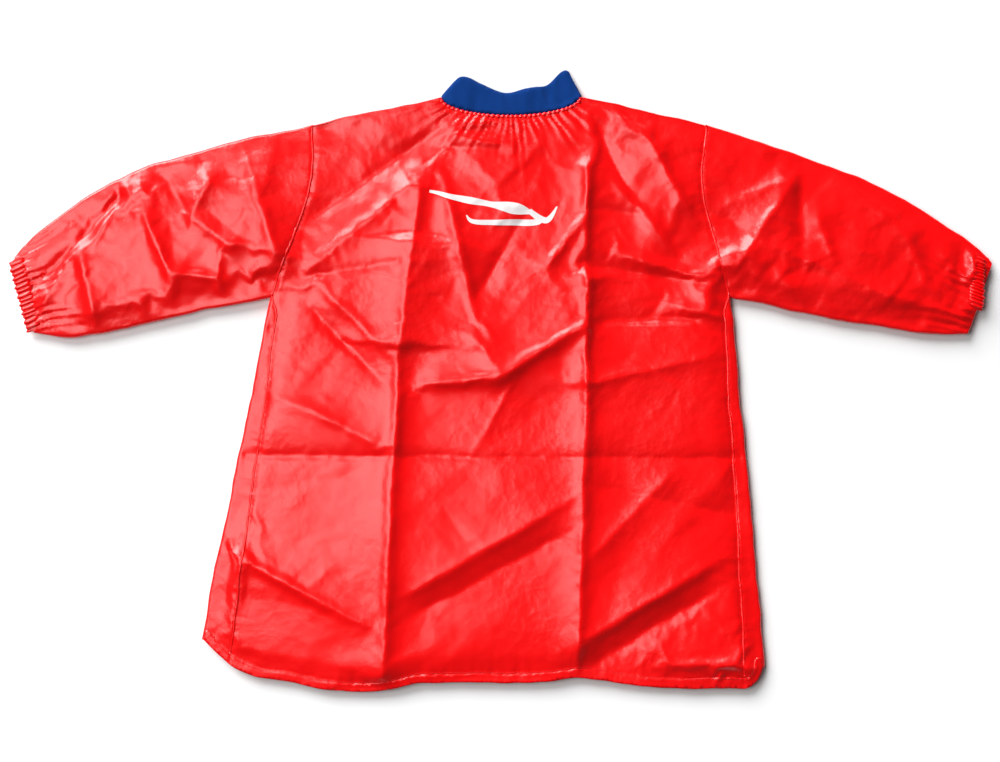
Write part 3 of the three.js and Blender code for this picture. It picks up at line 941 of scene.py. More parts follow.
def smock_cloth():
    """The whole smock's cloth as one object, whose material numbers say which region a face is in."""
    cloth = Cloth()
    upper, faces, regions, upper_flat = upper_layer()
    cloth.add(upper, faces, regions)
    starts = {}
    for side in SIDES:
        for kind, layer in (("back", back_layer(side)), ("sleeve", sleeve_under(side))):
            starts[kind, side] = (cloth.add(*layer), layer[0])
            under = layer[1]
            begin = len(cloth.faces) - len(under)
            cloth.faces[begin:] = [f[::-1] for f in cloth.faces[begin:]]
    for side, turn in SIDES.items():
        edges = [
            (sleeve_edge(side, "top")[::-1], "sleeve", f"sleeve_{side}"),
            (side_line(side)[::-1], "back", f"strip_{side}"),
            (sleeve_edge(side, "bottom"), "sleeve", f"sleeve_{side}"),
        ]
        if side == "left":
            edges.append((cuff_line(side)[::-1], "sleeve", f"sleeve_{side}"))
        for line, kind, region in edges:
            start, under = starts[kind, side]
            chain = stepped(line[::turn])
            if kind == "sleeve":
                along, across = sleeve_places(chain, side)
                half, slip = CUFF_LAY[side]
                chain = chain[(along < SLEEVE_LENGTH - 1e-4) | (across < slip - half)]
            cloth.roll(chain_in(upper_flat, chain), start + chain_in(under, chain), region)
    piece = mesh_object("smock_cloth", cloth.points, cloth.faces)
    for _ in REGIONS:
        piece.data.materials.append(None)
    piece.data.polygons.foreach_set("material_index", cloth.regions)
    layer = piece.data.attributes.new("is_upper", "FLOAT", "POINT")
    layer.data.foreach_set("value", [float(i < len(upper)) for i in range(len(cloth.points))])
    points = points_of(smoothed(piece))
    share = np.empty(len(points))
    piece.data.attributes["is_upper"].data.foreach_get("value", share)
    rows = np.flatnonzero(share > 0.01)
    edge = evenly(upper_outline(), 0.001, closed=True)
    gap = distance_to(points[rows], edge)
    still = 0.25 + 0.75 * ease(0, 0.006, gap)
    points[rows, 2] += share[rows] * still * fine_crinkles(points[rows, :2])
    points[rows, 2] = kept_under(points[rows, 2], CRINKLES_TOP)
    set_points(piece, points)
    return piece


def part_of(cloth, name, regions):
    """A new piece of the cloth's faces in these regions."""
    wanted = {REGIONS.index(r) for r in regions}
    mesh = cloth.data
    faces = [tuple(p.vertices) for p in mesh.polygons if p.material_index in wanted]
    used = np.unique(np.concatenate([np.array(f) for f in faces]))
    number = {int(old): new for new, old in enumerate(used)}
    points = points_of(cloth)[used]
    return mesh_object(name, points, [tuple(number[i] for i in f) for f in faces])


# ------------------------------------------------------------------ finishes


def node_group(name, inputs, outputs):
    """A node group, with the nodes that hold its inputs and its outputs."""
    group = bpy.data.node_groups.new(name, "ShaderNodeTree")
    for label, kind, value in inputs:
        socket = group.interface.new_socket(label, in_out="INPUT", socket_type=kind)
        if value is not None:
            socket.default_value = value
    for label, kind in outputs:
        group.interface.new_socket(label, in_out="OUTPUT", socket_type=kind)
    return group, group.nodes.new("NodeGroupInput"), group.nodes.new("NodeGroupOutput")


def put(tree, kind, inputs=None, **facts):
    """A node with its settings, and its inputs set or linked."""
    node = tree.nodes.new(kind)
    for name, value in facts.items():
        setattr(node, name, value)
    for name, value in (inputs or {}).items():
        if isinstance(value, bpy.types.NodeSocket):
            tree.links.new(value, node.inputs[name])
        else:
            node.inputs[name].default_value = value
    return node


def calc(tree, operation, *values):
    """The result of a calculation."""
    return put(tree, "ShaderNodeMath", dict(enumerate(values)), operation=operation).outputs[0]


def place_in(tree):
    """Where a point is on its piece."""
    return put(tree, "ShaderNodeTexCoord").outputs["Object"]


def speckle(tree, scale, detail):
    """Smooth noise from 0 to 1."""
    facts = {"Vector": place_in(tree), "Scale": scale, "Detail": detail}
    return put(tree, "ShaderNodeTexNoise", facts).outputs["Fac"]


def weave_group():
    """Plain weave: threads over and under each other, as a height."""
    group, given, result = node_group(
        "plain_weave", [("Threads", "NodeSocketFloat", 1500.0)], [("Height", "NodeSocketFloat")]
    )
    facts = {0: place_in(group), "Scale": given.outputs[0]}
    scaled = put(group, "ShaderNodeVectorMath", facts, operation="SCALE")
    parts = put(group, "ShaderNodeSeparateXYZ", {0: scaled.outputs[0]})
    warp, weft = (calc(group, "SINE", parts.outputs[axis]) for axis in "XY")
    group.links.new(calc(group, "MULTIPLY", warp, weft), result.inputs[0])
    return group


def crinkle_group():
    """Fine creases that cross a coated cloth, as a height."""
    group, given, result = node_group(
        "fine_creases",
        [("Size", "NodeSocketFloat", 60.0)],
        [("Height", "NodeSocketFloat"), ("Patches", "NodeSocketFloat")],
    )
    place = place_in(group)
    bend = put(group, "ShaderNodeTexNoise", {"Vector": place, "Scale": 22.0, "Detail": 2.0}).outputs["Color"]
    pushed = put(group, "ShaderNodeVectorMath", {0: bend, "Scale": 0.02}, operation="SCALE").outputs[0]
    moved = put(group, "ShaderNodeVectorMath", {0: place, 1: pushed}, operation="ADD").outputs[0]
    parts = []
    for factor, share in ((1.0, 1.0), (2.3, 0.45)):
        facts = {"Vector": moved, "Scale": calc(group, "MULTIPLY", given.outputs["Size"], factor)}
        cells = put(group, "ShaderNodeTexVoronoi", facts).outputs["Distance"]
        parts.append(calc(group, "MULTIPLY", cells, share))
    facts = {"Value": speckle(group, 9.0, 3.0), "From Min": 0.35, "From Max": 0.72, "To Min": 0.15}
    mask = put(group, "ShaderNodeMapRange", facts, interpolation_type="SMOOTHSTEP").outputs[0]
    group.links.new(calc(group, "MULTIPLY", calc(group, "ADD", *parts), mask), result.inputs["Height"])
    group.links.new(mask, result.inputs["Patches"])
    return group


def rib_group():
    """Rows of knitted ribs with their stitches, as a height, and a painted shade mask that is 1 in the
    valleys between the ribs.
    """
    group, given, result = node_group(
        "knit_ribs",
        [("Ribs", "NodeSocketFloat", 3500.0), ("Rows", "NodeSocketFloat", 4500.0)],
        [("Height", "NodeSocketFloat"), ("Valley Shade", "NodeSocketFloat")],
    )
    parts = put(group, "ShaderNodeSeparateXYZ", {0: place_in(group)})
    ribs = calc(group, "SINE", calc(group, "MULTIPLY", parts.outputs["X"], given.outputs[0]))
    up = calc(group, "MULTIPLY", parts.outputs["Y"], given.outputs[1])
    rows = calc(group, "SINE", calc(group, "ADD", up, calc(group, "ABSOLUTE", ribs)))
    height = calc(group, "ADD", ribs, calc(group, "MULTIPLY", rows, 0.3))
    # Painted shade mask: 1 where the ribs are lowest and 0 on their tops.
    facts = {"Value": height, "From Min": -1.2, "From Max": 0.6, "To Min": 1.0, "To Max": 0.0}
    painted_valley_shade = put(group, "ShaderNodeMapRange", facts).outputs[0]
    group.links.new(height, result.inputs["Height"])
    group.links.new(painted_valley_shade, result.inputs["Valley Shade"])
    return group


WEAVE, CREASES, RIBS = weave_group(), crinkle_group(), rib_group()


def finish(name, colour, roughness, **facts):
    """A material with a plain shader: its colour, roughness and other constants."""
    material = bpy.data.materials.new(name)
    material.use_nodes = True
    tree = material.node_tree
    shader = tree.nodes["Principled BSDF"]
    shader.inputs["Base Color"].default_value = (*colour, 1)
    shader.inputs["Roughness"].default_value = roughness
    for label, value in facts.items():
        shader.inputs[label.replace("_", " ").title().replace("Ior", "IOR")].default_value = value
    return material, tree, shader


def bumped(tree, shader, layers):
    """Puts heights on the shader's normal, each with its strength and depth."""
    normal = None
    for height, strength, depth in layers:
        inputs = {"Height": height, "Strength": strength, "Distance": depth}
        if normal is not None:
            inputs["Normal"] = normal
        normal = put(tree, "ShaderNodeBump", inputs).outputs[0]
    tree.links.new(normal, shader.inputs["Normal"])


def two_tone(tree, shader, amount, low, high):
    """Base colour that goes between two colours with an amount."""
    mix = put(tree, "ShaderNodeMix", {"Factor": amount}, data_type="RGBA")
    mix.inputs[6].default_value = (*low, 1)
    mix.inputs[7].default_value = (*high, 1)
    tree.links.new(mix.outputs[2], shader.inputs["Base Color"])


def coated_nylon(name, low, high, roughness):
    """Thin woven nylon with a shiny coating and fine creases."""
    material, tree, shader = finish(name, high, roughness, specular_ior_level=0.55)
    weave = put(tree, "ShaderNodeGroup", {"Threads": 7000.0}, node_tree=WEAVE)
    creases = put(tree, "ShaderNodeGroup", {"Size": 75.0}, node_tree=CREASES)
    two_tone(tree, shader, speckle(tree, 14.0, 4.0), low, high)
    shine = {"Value": creases.outputs["Patches"], "To Min": roughness - 0.03, "To Max": roughness + 0.05}
    tree.links.new(put(tree, "ShaderNodeMapRange", shine).outputs[0], shader.inputs["Roughness"])
    heights = [(creases.outputs["Height"], 0.35, 0.0012), (weave.outputs["Height"], 0.10, 0.0001)]
    bumped(tree, shader, heights)
    return material


def knit(name, low, high, ribs, rows, depth):
    """Matt ribbed knit or woven elastic, with painted shade: its base colour is darker in the valleys between
    the ribs.
    """
    facts = {"sheen_weight": 0.02, "sheen_roughness": 0.5, "specular_ior_level": 0.12}
    material, tree, shader = finish(name, high, 0.85, **facts)
    yarn = put(tree, "ShaderNodeGroup", {"Ribs": ribs, "Rows": rows}, node_tree=RIBS)
    # Painted shade: the base colour goes to the darker colour in the rib valleys.
    two_tone(tree, shader, yarn.outputs["Valley Shade"], high, low)
    bumped(tree, shader, [(yarn.outputs["Height"], 0.7, depth)])
    return material


def thread(name, low, high):
    """Twisted sewing thread."""
    material, tree, shader = finish(name, high, 0.55)
    facts = {"Vector": place_in(tree), "Scale": 900.0, "Distortion": 1.0}
    twist = put(tree, "ShaderNodeTexWave", facts, wave_type="BANDS").outputs["Fac"]
    two_tone(tree, shader, twist, low, high)
    bumped(tree, shader, [(twist, 0.4, 0.0002)])
    return material


def screen_print(name, low, high):
    """A thin layer of ink on the weave."""
    material, tree, shader = finish(name, high, 0.5)
    grain = speckle(tree, 900.0, 2.0)
    two_tone(tree, shader, grain, low, high)
    bumped(tree, shader, [(grain, 0.2, 0.0001)])
    return material


def fastener(name, low, high, scale):
    """Tape with small hooks or loops."""
    material, tree, shader = finish(name, high, 0.8)
    facts = {"Vector": place_in(tree), "Scale": scale}
    hooks = put(tree, "ShaderNodeTexVoronoi", facts).outputs["Distance"]
    two_tone(tree, shader, hooks, high, low)
    bumped(tree, shader, [(hooks, 0.8, 0.0006)])
    return material


RED_NYLON = coated_nylon("red_coated_nylon", (0.84, 0.0008, 0.0016), (0.94, 0.0012, 0.0024), 0.26)
# The knit's and the elastic's darker colours are painted shade for their rib valleys.
BLUE_KNIT = knit("blue_rib_knit", (0.0002, 0.020, 0.125), (0.0006, 0.050, 0.270), 6200.0, 7400.0, 0.0003)
RED_THREAD = thread("red_thread", (0.42, 0.003, 0.004), (0.62, 0.006, 0.008))
WHITE_PRINT = screen_print("white_screen_print", (0.72, 0.66, 0.66), (0.86, 0.82, 0.82))
WHITE_ELASTIC = knit("white_elastic", (0.45, 0.44, 0.42), (0.80, 0.79, 0.77), 5200.0, 3900.0, 0.0004)
BLUE_HOOKS = fastener("blue_hook_tape", (0.002, 0.015, 0.09), (0.004, 0.045, 0.22), 1400.0)
BLUE_LOOPS = fastener("blue_loop_tape", (0.002, 0.02, 0.11), (0.005, 0.055, 0.26), 700.0)


# ------------------------------------------------------------------ small sewn pieces

cloth = smock_cloth()
top_tree = BVHTree.FromPolygons(
    [v.co.copy() for v in cloth.data.vertices], [tuple(p.vertices) for p in cloth.data.polygons]
)


def surface_at(places):
    """The height of the upper layer's surface at each place."""
    heights = []
    for x, y in np.asarray(places)[:, :2]:
        hit = top_tree.ray_cast(Vector((x, y, 0.1)), DOWN)[0]
        heights.append(hit.z if hit else EDGE_Z)
    return np.array(heights)


def tube(name, centres, half_widths, half_heights, sides):
    """A flattened tube along a line of points."""
    c = np.asarray(centres, float)
    way = ways(c)
    wide = np.column_stack([left_of(way), np.zeros(len(c))])
    wide /= np.linalg.norm(wide, axis=1)[:, None]
    tall = np.cross(way, wide)
    rings = []
    for i in range(sides):
        a = 2 * math.pi * i / sides
        w = np.broadcast_to(half_widths, len(c))[:, None] * math.cos(a)
        h = np.broadcast_to(half_heights, len(c))[:, None] * math.sin(a)
        rings.append(c + wide * w + tall * h)
    points = np.stack(rings, 1).reshape(-1, 3)
    ends = [tuple(range(sides))[::-1], tuple(range(len(points) - sides, len(points)))]
    return mesh_object(name, points, grid_faces(len(c), sides, closed=True) + ends)


def band(name, outer, inner, heights, rows=3):
    """A strip of cloth between two lines of as many points, with a thickness."""
    points = []
    for r in range(rows + 1):
        flat = outer + (inner - outer) * r / rows
        z = heights(flat) + 0.00015 * lumps(flat, 0.006, 23)
        points.append(np.column_stack([flat, z]))
    piece = mesh_object(name, np.vstack(points), grid_faces(rows + 1, len(outer)))
    return thickened(piece, 0.0004)


def stitches(name, line):
    """A row of sewn stitches that lie on the surface along a line."""
    pitch, half, radius, lift = 0.0032, 0.0012, 0.00032, 0.0001
    middle = evenly(line, pitch)
    way = ways(middle)
    side = left_of(way)
    ends = np.vstack([middle - way * half, middle, middle + way * half])
    z = surface_at(ends).reshape(3, -1)
    points, faces = [], []
    for i in range(len(middle)):
        start = len(points)
        for share, size in ((-1, 0.25), (-0.6, 0.9), (0, 1.0), (0.6, 0.9), (1, 0.25)):
            at = middle[i] + way[i] * half * share
            rise = np.interp(share, (-1, 0, 1), z[:, i]) + lift - 0.0003 * abs(share) ** 3
            for k in range(6):
                a = 2 * math.pi * k / 6
                off = side[i] * radius * size * math.cos(a)
                points.append((*(at + off), rise + radius * size * math.sin(a)))
        for a, b, c, d in grid_faces(5, 6, closed=True):
            faces.append((start + a, start + d, start + c, start + b))
        faces += [tuple(start + k for k in range(6)), tuple(start + 24 + k for k in range(5, -1, -1))]
    return mesh_object(name, points, faces)


def made_of(piece, material):
    """Gives the piece its material."""
    piece.data.materials.clear()
    piece.data.materials.append(material)


def sewn(piece, node, body, material=RED_NYLON):
    """A finished piece, with the node that it replaces and the body that it rides on."""
    made_of(piece, material)
    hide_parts(node)
    if body:
        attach(piece, body)
    return piece


# The parts of the simulated cloth
front = part_of(cloth, "front_body", ["front"])
hem = thickened(part_of(cloth, "turned_hem_front", ["hem"]), 0.0010, -1)
backs = {side: part_of(cloth, f"back_{side}", [f"back_{side}", f"strip_{side}"]) for side in SIDES}
flap = part_of(cloth, "back_flap", ["flap"])
sleeves = {side: part_of(cloth, f"sleeve_cloth_{side}", [f"sleeve_{side}"]) for side in SIDES}
bpy.data.objects.remove(cloth)

sewn(front, "front_panel", "torso")
sewn(hem, "front_hem", "torso")
sewn(flap, "back_flap_right", "back_flap")
for side in SIDES:
    sewn(backs[side], f"back_panel_{side}", "torso")
    sewn(sleeves[side], f"sleeve_{side}", None)


def seam_welt(name, line, side_step, width, height, node):
    """The folded edge that shows along a seam, on one side of its groove."""
    flat = evenly(line, 0.0018)
    flat = flat + left_of(ways(flat)) * side_step
    rise = surface_at(flat)
    rise = np.convolve(np.pad(rise, 2, mode="edge"), np.ones(5) / 5, mode="valid")
    pucker = lumps(flat, 0.005, 27)
    centres = np.column_stack([flat, rise + 0.00005 + 0.0001 * pucker])
    piece = tube(name, centres, width * (1 + 0.15 * pucker), height * (1 + 0.3 * pucker), 8)
    sewn(piece, node, "torso")


for side, sign in SIDES.items():
    hole = laid(on_side(side, armhole()))
    seam_welt(f"armhole_fold_{side}", hole, -0.0011 * sign, 0.0012, 0.00042, f"armhole_seam_{side}")
    seam = laid(side_seam(side))
    seam = seam[inside(seam, upper_outline())][:-2]
    seam_welt(f"side_fold_{side}", seam, 0.0010 * sign, 0.0011, 0.00038, f"side_seam_{side}")

for side in SIDES:
    line = evenly(laid(shoulder_line(side)), 0.002)
    rise = edge_height(line)
    centres = np.column_stack([line, (rise + UNDERSIDE) / 2])
    tall = (rise - UNDERSIDE) / 2 + 0.0003
    wide = 0.0011 + 0.0002 * lumps(line, 0.006, 28)
    sewn(tube(f"shoulder_fold_{side}", centres, wide, tall, 12), f"shoulder_seam_{side}", "torso")


# Inside seams, hems and facings, which lie on the back
def back_height(places, layers, side):
    """The height of cloth that lies on a back panel."""
    raised = climb(straight(places)[:, 0]) if side == "left" else 0.0
    return UNDERSIDE + 0.0007 * layers + raised


fold_low, fold_high = frame_fold_line()


def on_flap(places):
    """Which places are on the back flap, clear of its fold and of its edge."""
    off = from_line(places, fold_low, fold_high)[1]
    return (off < -FLAP_GAP) & (straight(places)[:, 0] < FLAP_END)


def hem_band(name, side, node, body, keep):
    """The turned hem of a back panel."""
    outer = evenly(laid(hem_line(0.0012)), 0.004)
    inner = evenly(laid(hem_line(HEM_WIDTH)), 0.001)
    inner = inner[np.linspace(0, len(inner) - 1, len(outer)).round().astype(int)]
    chosen = keep(outer)
    sewn(band(name, outer[chosen], inner[chosen], lambda p: back_height(p, 1, side)), node, body)


def beside_flap(places):
    """Which places are on the right back panel, clear of the flap's fold."""
    return from_line(places, fold_low, fold_high)[1] > FLAP_GAP


hem_band("turned_hem_right", "right", "back_hem_right", "torso", beside_flap)
hem_band("turned_hem_flap", "right", "flap_hem", "back_flap", on_flap)
hem_band("turned_hem_left", "left", "back_hem_left", "torso", lambda p: straight(p)[:, 0] > -FLAP_END)

for side, sign in SIDES.items():
    edge_x = -sign * (OVERLAP / 2 - 0.001)
    y = np.linspace(0.012, NECK_LOW - 0.010, 140)
    outer, inner = (
        laid(np.stack([np.full(len(y), edge_x + sign * inset), y], -1)) for inset in (0, FACING_WIDTH)
    )
    piece = band(f"facing_strip_{side}", outer, inner, lambda p: back_height(p, 1.6, side), rows=4)
    sewn(piece, f"facing_{side}", "back_flap" if side == "right" else "torso")

seam_edges = {}
for side in SIDES:
    line = evenly(sleeve_edge(side, "bottom"), 0.003)[4:-3]
    outer = laid(line + on_side(side, [SLEEVE_UP * 0.002]))
    inner = laid(line + on_side(side, [SLEEVE_UP * (0.002 + SEAM_ALLOWANCE)]))
    piece = band(f"sleeve_seam_edges_{side}", outer, inner, lambda p: np.full(len(p), 0.0022), rows=2)
    seam_edges[side] = sewn(piece, f"sleeve_seam_{side}", None)

# ------------------------------------------------------------------ neck and collar

neck = laid(evenly(neck_seam(), 0.0012))
neck_rise = edge_height(neck)

# The gathered seam that the collar is sewn to
puff = np.cos(np.arange(len(neck)) * 0.0012 / 0.0046 * 2 * math.pi + 2 * lumps(neck, 0.02, 33))
centres = np.column_stack([neck, neck_rise - 0.0004 + 0.0002 * puff])
piece = tube("neck_gathers", centres, 0.0016 + 0.0005 * puff, 0.0012 + 0.0003 * puff, 12)
sewn(piece, "neck_seam", "torso")

flap_neck = neck[on_flap(neck)]
flap_neck_in = flap_neck - (0, SEAM_ALLOWANCE)
piece = band("neck_edge_flap", flap_neck, flap_neck_in, lambda p: back_height(p, 1, "right"))
sewn(piece, "neck_seam_flap", "back_flap")


def collar_top():
    """The collar's top edge from its left fold to its right one: two peaks, a dip and the notch between."""
    rise = NECK_Y + COLLAR_RISE
    return spline(
        [
            (NECK_HALF + 0.002, NECK_Y + 0.001),
            (PEAK_HALF + 0.009, rise - 0.004),
            (PEAK_HALF + 0.004, rise + 0.0045),
            (PEAK_HALF - 0.003, rise + 0.0035),
            (0.036, rise - 0.0095),
            (0.0235, rise - 0.0115),
            (0.014, rise - 0.0130),
            (-0.006, rise - 0.0175),
            (-0.030, rise - 0.0085),
            (-PEAK_HALF + 0.010, rise - 0.0025),
            (-PEAK_HALF + 0.001, rise - 0.0012),
            (-PEAK_HALF - 0.006, rise - 0.0065),
            (-NECK_HALF - 0.001, NECK_Y + 0.001),
        ],
        160,
    )


def collar():
    """The knit band, standing as a flattened ring: a front layer, a back layer and rolled edges."""
    top = collar_top()
    seam = neck_seam(0.0006)[::-1]
    edge = np.vstack([evenly(laid(top), 0.0022)[:-1], evenly(laid(seam), 0.0022)[:-1]])
    flat, faces = flat_mesh(edge, step=0.0026, seed=12)
    gap = distance_to(flat, evenly(edge, 0.0008, closed=True))
    _, from_top = nearest(flat, evenly(laid(top), 0.0008))
    _, from_seam = nearest(flat, evenly(laid(seam), 0.0008))
    places = straight(flat)
    share = from_top / (from_top + from_seam + 1e-6)
    middle = 0.0062 + 0.0030 * share
    round_off = np.sqrt(np.clip(gap / 0.0026, 0, 1) * (2 - np.clip(gap / 0.0026, 0, 1)))
    soft = 0.0011 * lumps(flat * (1, 0.25), 0.0085, 41) + 0.0006 * lumps(flat, 0.020, 42)
    notch = ridge(places, (0.0300, NECK_Y + 0.012), (0.0560, NECK_Y - 0.012), -0.0016, 0.0022, fade=0.2)
    behind = -0.0014 * ease(0.0290, 0.0320, places[:, 0] + 0.4 * (places[:, 1] - NECK_Y - 0.010))
    front_z = middle + soft * round_off + notch + behind * ease(0, 0.008, from_seam)
    low_z = np.full(len(flat), 0.0026)
    front_z = low_z + 0.0008 + (front_z - low_z - 0.0008) * round_off
    upper = np.column_stack([flat, front_z])
    lower = np.column_stack([flat, low_z])
    rim = chain_in(flat, edge)
    points = np.vstack([upper, lower])
    rolled = [tuple(f) for f in faces] + [tuple(i + len(flat) for i in f[::-1]) for f in faces]
    for a, b in zip(rim, np.roll(rim, -1)):
        rolled.append((a, a + len(flat), b + len(flat), b))
    piece = smoothed(mesh_object("collar_knit_band", points, rolled))
    sewn(piece, "collar_band", "torso", BLUE_KNIT)


def collar_back_end():
    """The end of the collar that opens with the back flap."""
    x = np.linspace(-0.037, 0.0195, 40)
    seam = np.stack([x, np.interp(x, *neck_seam()[::-1].T)], -1)
    top = seam + (0, COLLAR_RISE)
    rows = [laid(seam + (top - seam) * t) for t in np.linspace(0, 1, 13)]
    points = np.vstack([np.column_stack([row, 0.0009 + 0.00015 * lumps(row, 0.008, 43)]) for row in rows])
    faces = [(a, d, c, b) for a, b, c, d in grid_faces(len(rows), len(x))]
    piece = smoothed(thickened(mesh_object("collar_knit_end", points, faces), 0.0011))
    sewn(piece, "collar_end", "back_flap", BLUE_KNIT)


collar()
collar_back_end()


def patch(name, node, material, height, body):
    """A small fastener patch with rounded corners, sewn down all round."""
    low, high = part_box(node)
    cx, cy = (low.x + high.x) / 2, (low.y + high.y) / 2
    wide, tall, corner = (high.x - low.x) / 2, (high.y - low.y) / 2, 0.002
    edge = []
    for k, (sx, sy) in enumerate(((1, 1), (-1, 1), (-1, -1), (1, -1))):
        x, y = cx + sx * (wide - corner), cy + sy * (tall - corner)
        for a in np.linspace(0, math.pi / 2, 5) + k * math.pi / 2:
            edge.append((x + corner * math.cos(a), y + corner * math.sin(a)))
    flat, faces = flat_mesh(evenly(edge, 0.0016, closed=True), step=0.0018, seed=13)
    z = height + 0.0001 * lumps(flat, 0.004, 44)
    piece = thickened(mesh_object(name, np.column_stack([flat, z]), faces), 0.0005)
    sewn(piece, node, body, material)


patch("hook_tape", "hook_patch", BLUE_HOOKS, 0.0018, "back_flap")
patch("loop_tape", "loop_patch", BLUE_LOOPS, 0.0023, "torso")

# ------------------------------------------------------------------ cuffs


def flat_ring(half_width, half_height, count):
    """A flattened ring's points, evenly stepped, with their outward ways."""
    a = np.linspace(0, 2 * math.pi, 721)
    power = 0.55
    rise = np.sign(np.sin(a)) * np.abs(np.sin(a)) ** power
    line = np.stack([half_width * np.cos(a), half_height * rise], -1)
    run = np.r_[0, np.cumsum(np.linalg.norm(np.diff(line, axis=0), axis=1))]
    at = np.linspace(0, run[-1], count + 1)[:-1]
    ring = np.stack([np.interp(at, run, line[:, k]) for k in range(2)], -1)
    way = np.roll(ring, -1, 0) - np.roll(ring, 1, 0)
    way /= np.linalg.norm(way, axis=1)[:, None]
    return ring, np.stack([way[:, 1], -way[:, 0]], -1)


CUFF_GATHERS = 32


def cuff(side, name, rows, material, node):
    """A ring round the sleeve's end: rows say how far along, how far out, and how strongly it is gathered."""
    half, slip = CUFF_LAY[side]
    count = 260
    ring, out = flat_ring(half, 0.0029 * CUFF_HALF / half, count)
    angle = np.arange(count) / count * 2 * math.pi
    circle = np.stack([np.cos(angle), np.sin(angle)], -1)
    turn = angle * CUFF_GATHERS + 2.6 * lumps(circle, 0.45, 40)
    puff = (np.abs(np.cos(turn / 2)) ** 0.8 * 2 - 1.1) * (0.9 + 0.55 * lumps(circle, 0.3, 41))
    sway = np.sin(turn / 2 + 0.9)
    points = []
    for along, step, gather, scallop in rows:
        spot = ring + out * (step + gather * puff)[:, None]
        distance = along + scallop * (0.6 * puff + 0.5 * sway)
        distance = distance - (0.32 * spot[:, 0] + 0.004) * (slip > 0)
        flat = SLEEVE_ROOT + np.outer(distance, SLEEVE_WAY) + np.outer(spot[:, 0] + slip, SLEEVE_UP)
        points.append(np.column_stack([laid(on_side(side, flat)), 0.0048 + 0.0014 * (slip > 0) + spot[:, 1]]))
    faces = grid_faces(len(rows), count, closed=True)
    if side == "right":
        faces = [face[::-1] for face in faces]
    piece = smoothed(mesh_object(name, np.vstack(points), faces))
    return sewn(piece, node, f"sleeve_{side}_body", material)


END = SLEEVE_LENGTH
CASING_ROWS = [
    (END - CASING_WIDTH - 0.0016, -0.0016, 0.0001, 0.0),
    (END - CASING_WIDTH - 0.0004, 0.0000, 0.0003, 0.0002),
    (END - CASING_WIDTH + 0.0012, 0.0003, 0.0006, 0.0003),
    (END - CASING_WIDTH + 0.0040, 0.0008, 0.0011, 0.0003),
    (END - 0.0040, 0.0010, 0.0013, 0.0005),
    (END - 0.0005, 0.0007, 0.0013, 0.0009),
    (END + 0.0018, 0.0001, 0.0012, 0.0012),
    (END + 0.0024, -0.0005, 0.0011, 0.0013),
    (END + 0.0016, -0.0010, 0.0009, 0.0012),
    (END - 0.0040, -0.0013, 0.0006, 0.0005),
    (END - CASING_WIDTH, -0.0014, 0.0003, 0.0002),
]
ELASTIC_ROWS = [
    (END - 0.0095, -0.0008, 0.0002, 0.0),
    (END - 0.0090, -0.0004, 0.0003, 0.0),
    (END - 0.0035, -0.0003, 0.0004, 0.0),
    (END - 0.0030, -0.0006, 0.0004, 0.0),
]
for side in SIDES:
    cuff(
        side, f"gathered_cuff_{side}", CASING_ROWS, RED_NYLON, f"cuff_casing_{side}"
    )
    cuff(side, f"cuff_band_{side}", ELASTIC_ROWS, WHITE_ELASTIC, f"cuff_elastic_{side}")

# ------------------------------------------------------------------ chest print


def brush_mark(centres, widths):
    """The outline of a brush mark that follows a line of centres."""
    line = spline(centres, 60)
    half = spline([(0, w) for w in widths], 60)[:, 1] / 2
    off = left_of(ways(line)) * half[:, None]
    return np.vstack([line + off, (line - off)[::-1]])


PRINT_LENGTH = 0.128
PRINT_MIDDLE = np.array([-0.013, NECK_Y - 0.111])
MARKS = [
    ([(-0.5, 0.13), (-0.1, 0.05), (0.3, -0.03)], [0.02, 0.035, 0.055, 0.045, 0.09, 0.03]),
    ([(0.5, 0.02), (0.42, -0.09), (0.29, -0.02)], [0.01, 0.05, 0.04]),
    (
        [(0.29, -0.02), (0.36, -0.1), (0.1, -0.11), (-0.14, -0.1), (-0.2, -0.05)],
        [0.04, 0.05, 0.045, 0.035, 0.01],
    ),
]


def chest_print():
    """The printed brush marks, just over the cloth."""
    points, faces = [], []
    for centres, widths in MARKS:
        mark = brush_mark(np.array(centres) * PRINT_LENGTH + PRINT_MIDDLE, np.array(widths) * PRINT_LENGTH)
        flat, made = flat_mesh(evenly(laid(mark), 0.0009, closed=True), step=0.0016, seed=15)
        start = len(points)
        rise = surface_at(flat) + 0.00025
        points += [tuple(p) for p in np.column_stack([flat, rise])]
        faces += [tuple(int(i) + start for i in f) for f in made]
    piece = mesh_object("painted_stroke_print", points, faces)
    sewn(piece, "chest_motif", "torso", WHITE_PRINT)


chest_print()

# ------------------------------------------------------------------ stitching

hem_stitches = stitches("hem_stitches", evenly(laid(hem_line(HEM_WIDTH - 0.0012)), 0.001))
made_of(hem_stitches, RED_THREAD)
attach(hem_stitches, "torso")


# ------------------------------------------------------------------ floor, light and camera

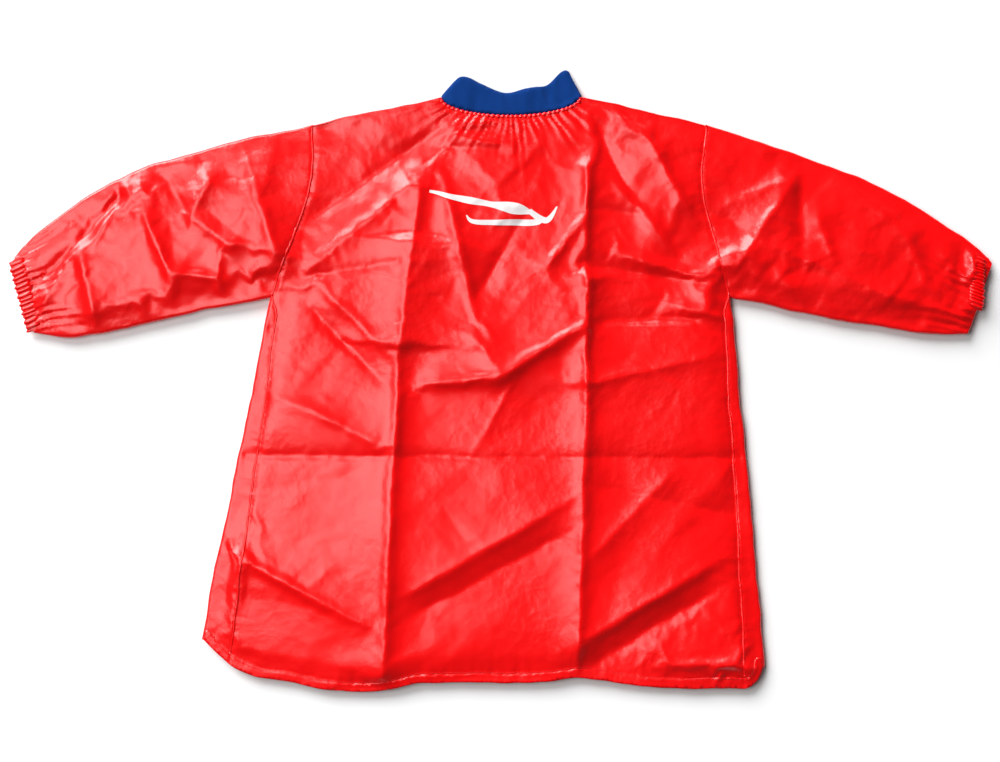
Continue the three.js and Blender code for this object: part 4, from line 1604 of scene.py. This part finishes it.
FLOOR_Z = -0.0025
corners = [(-4, -4, FLOOR_Z), (4, -4, FLOOR_Z), (4, 4, FLOOR_Z), (-4, 4, FLOOR_Z)]
floor = mesh_object("floor", corners, [(0, 1, 2, 3)])
floor_paint, floor_tree, floor_shader = finish("pale_floor", (0.93, 0.93, 0.93), 0.9)
speck = put(floor_tree, "ShaderNodeTexNoise", {"Scale": 3.0}).outputs["Fac"]
two_tone(floor_tree, floor_shader, speck, (0.925, 0.925, 0.925), (0.935, 0.935, 0.935))
floor.data.materials.append(floor_paint)
floor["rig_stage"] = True

world = bpy.data.worlds.new("studio")
bpy.context.scene.world = world
world.use_nodes = True
sky = world.node_tree.nodes["Background"].inputs
sky["Color"].default_value = (1, 1, 1, 1)
sky["Strength"].default_value = 0.07


def lamp(name, kind, place, energy, size):
    """A light that points at the middle of the frame."""
    light = bpy.data.lights.new(name, kind)
    light.energy = energy
    if kind == "SUN":
        light.angle = size
    else:
        light.shape = "SQUARE"
        light.size = size
    piece = bpy.data.objects.new(name, light)
    bpy.context.scene.collection.objects.link(piece)
    piece.location = place
    piece.rotation_euler = (-Vector(place)).to_track_quat("-Z", "Y").to_euler()


lamp("key", "SUN", (-0.75, 1.15, 0.70), 5.3, math.radians(42))
lamp("softbox", "AREA", (-0.90, 0.12, 1.85), 20.5, 1.2)

camera_facts = bpy.data.cameras.new("camera")
camera_facts.lens = 70
camera = bpy.data.objects.new("camera", camera_facts)
bpy.context.scene.collection.objects.link(camera)
camera.location = (-0.0026, 0.0051, 1.950)
bpy.context.scene.camera = camera
bpy.context.scene.view_settings.view_transform = "Standard"

# ------------------------------------------------------------------ slack and baked transforms


def slacken(piece):
    """Lets a piece's outline wander a little, with its neighbours', as loose cloth does."""
    points = points_of(piece)
    flat = points[:, :2]
    held = ease(0.05, 0.11, np.hypot(*(straight(flat) - (0, NECK_Y)).T))
    for axis, seed in ((0, 51), (1, 61)):
        push = 0.0017 * lumps(flat, 0.045, seed) + 0.0009 * lumps(flat, 0.017, seed + 1)
        points[:, axis] += held * push
    set_points(piece, points)


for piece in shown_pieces():
    if "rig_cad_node" not in piece and not piece.get("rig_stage"):
        slacken(piece)

for side in SIDES:
    for piece in (sleeves[side], seam_edges[side]):
        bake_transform(piece)

for side, piece in sleeves.items():
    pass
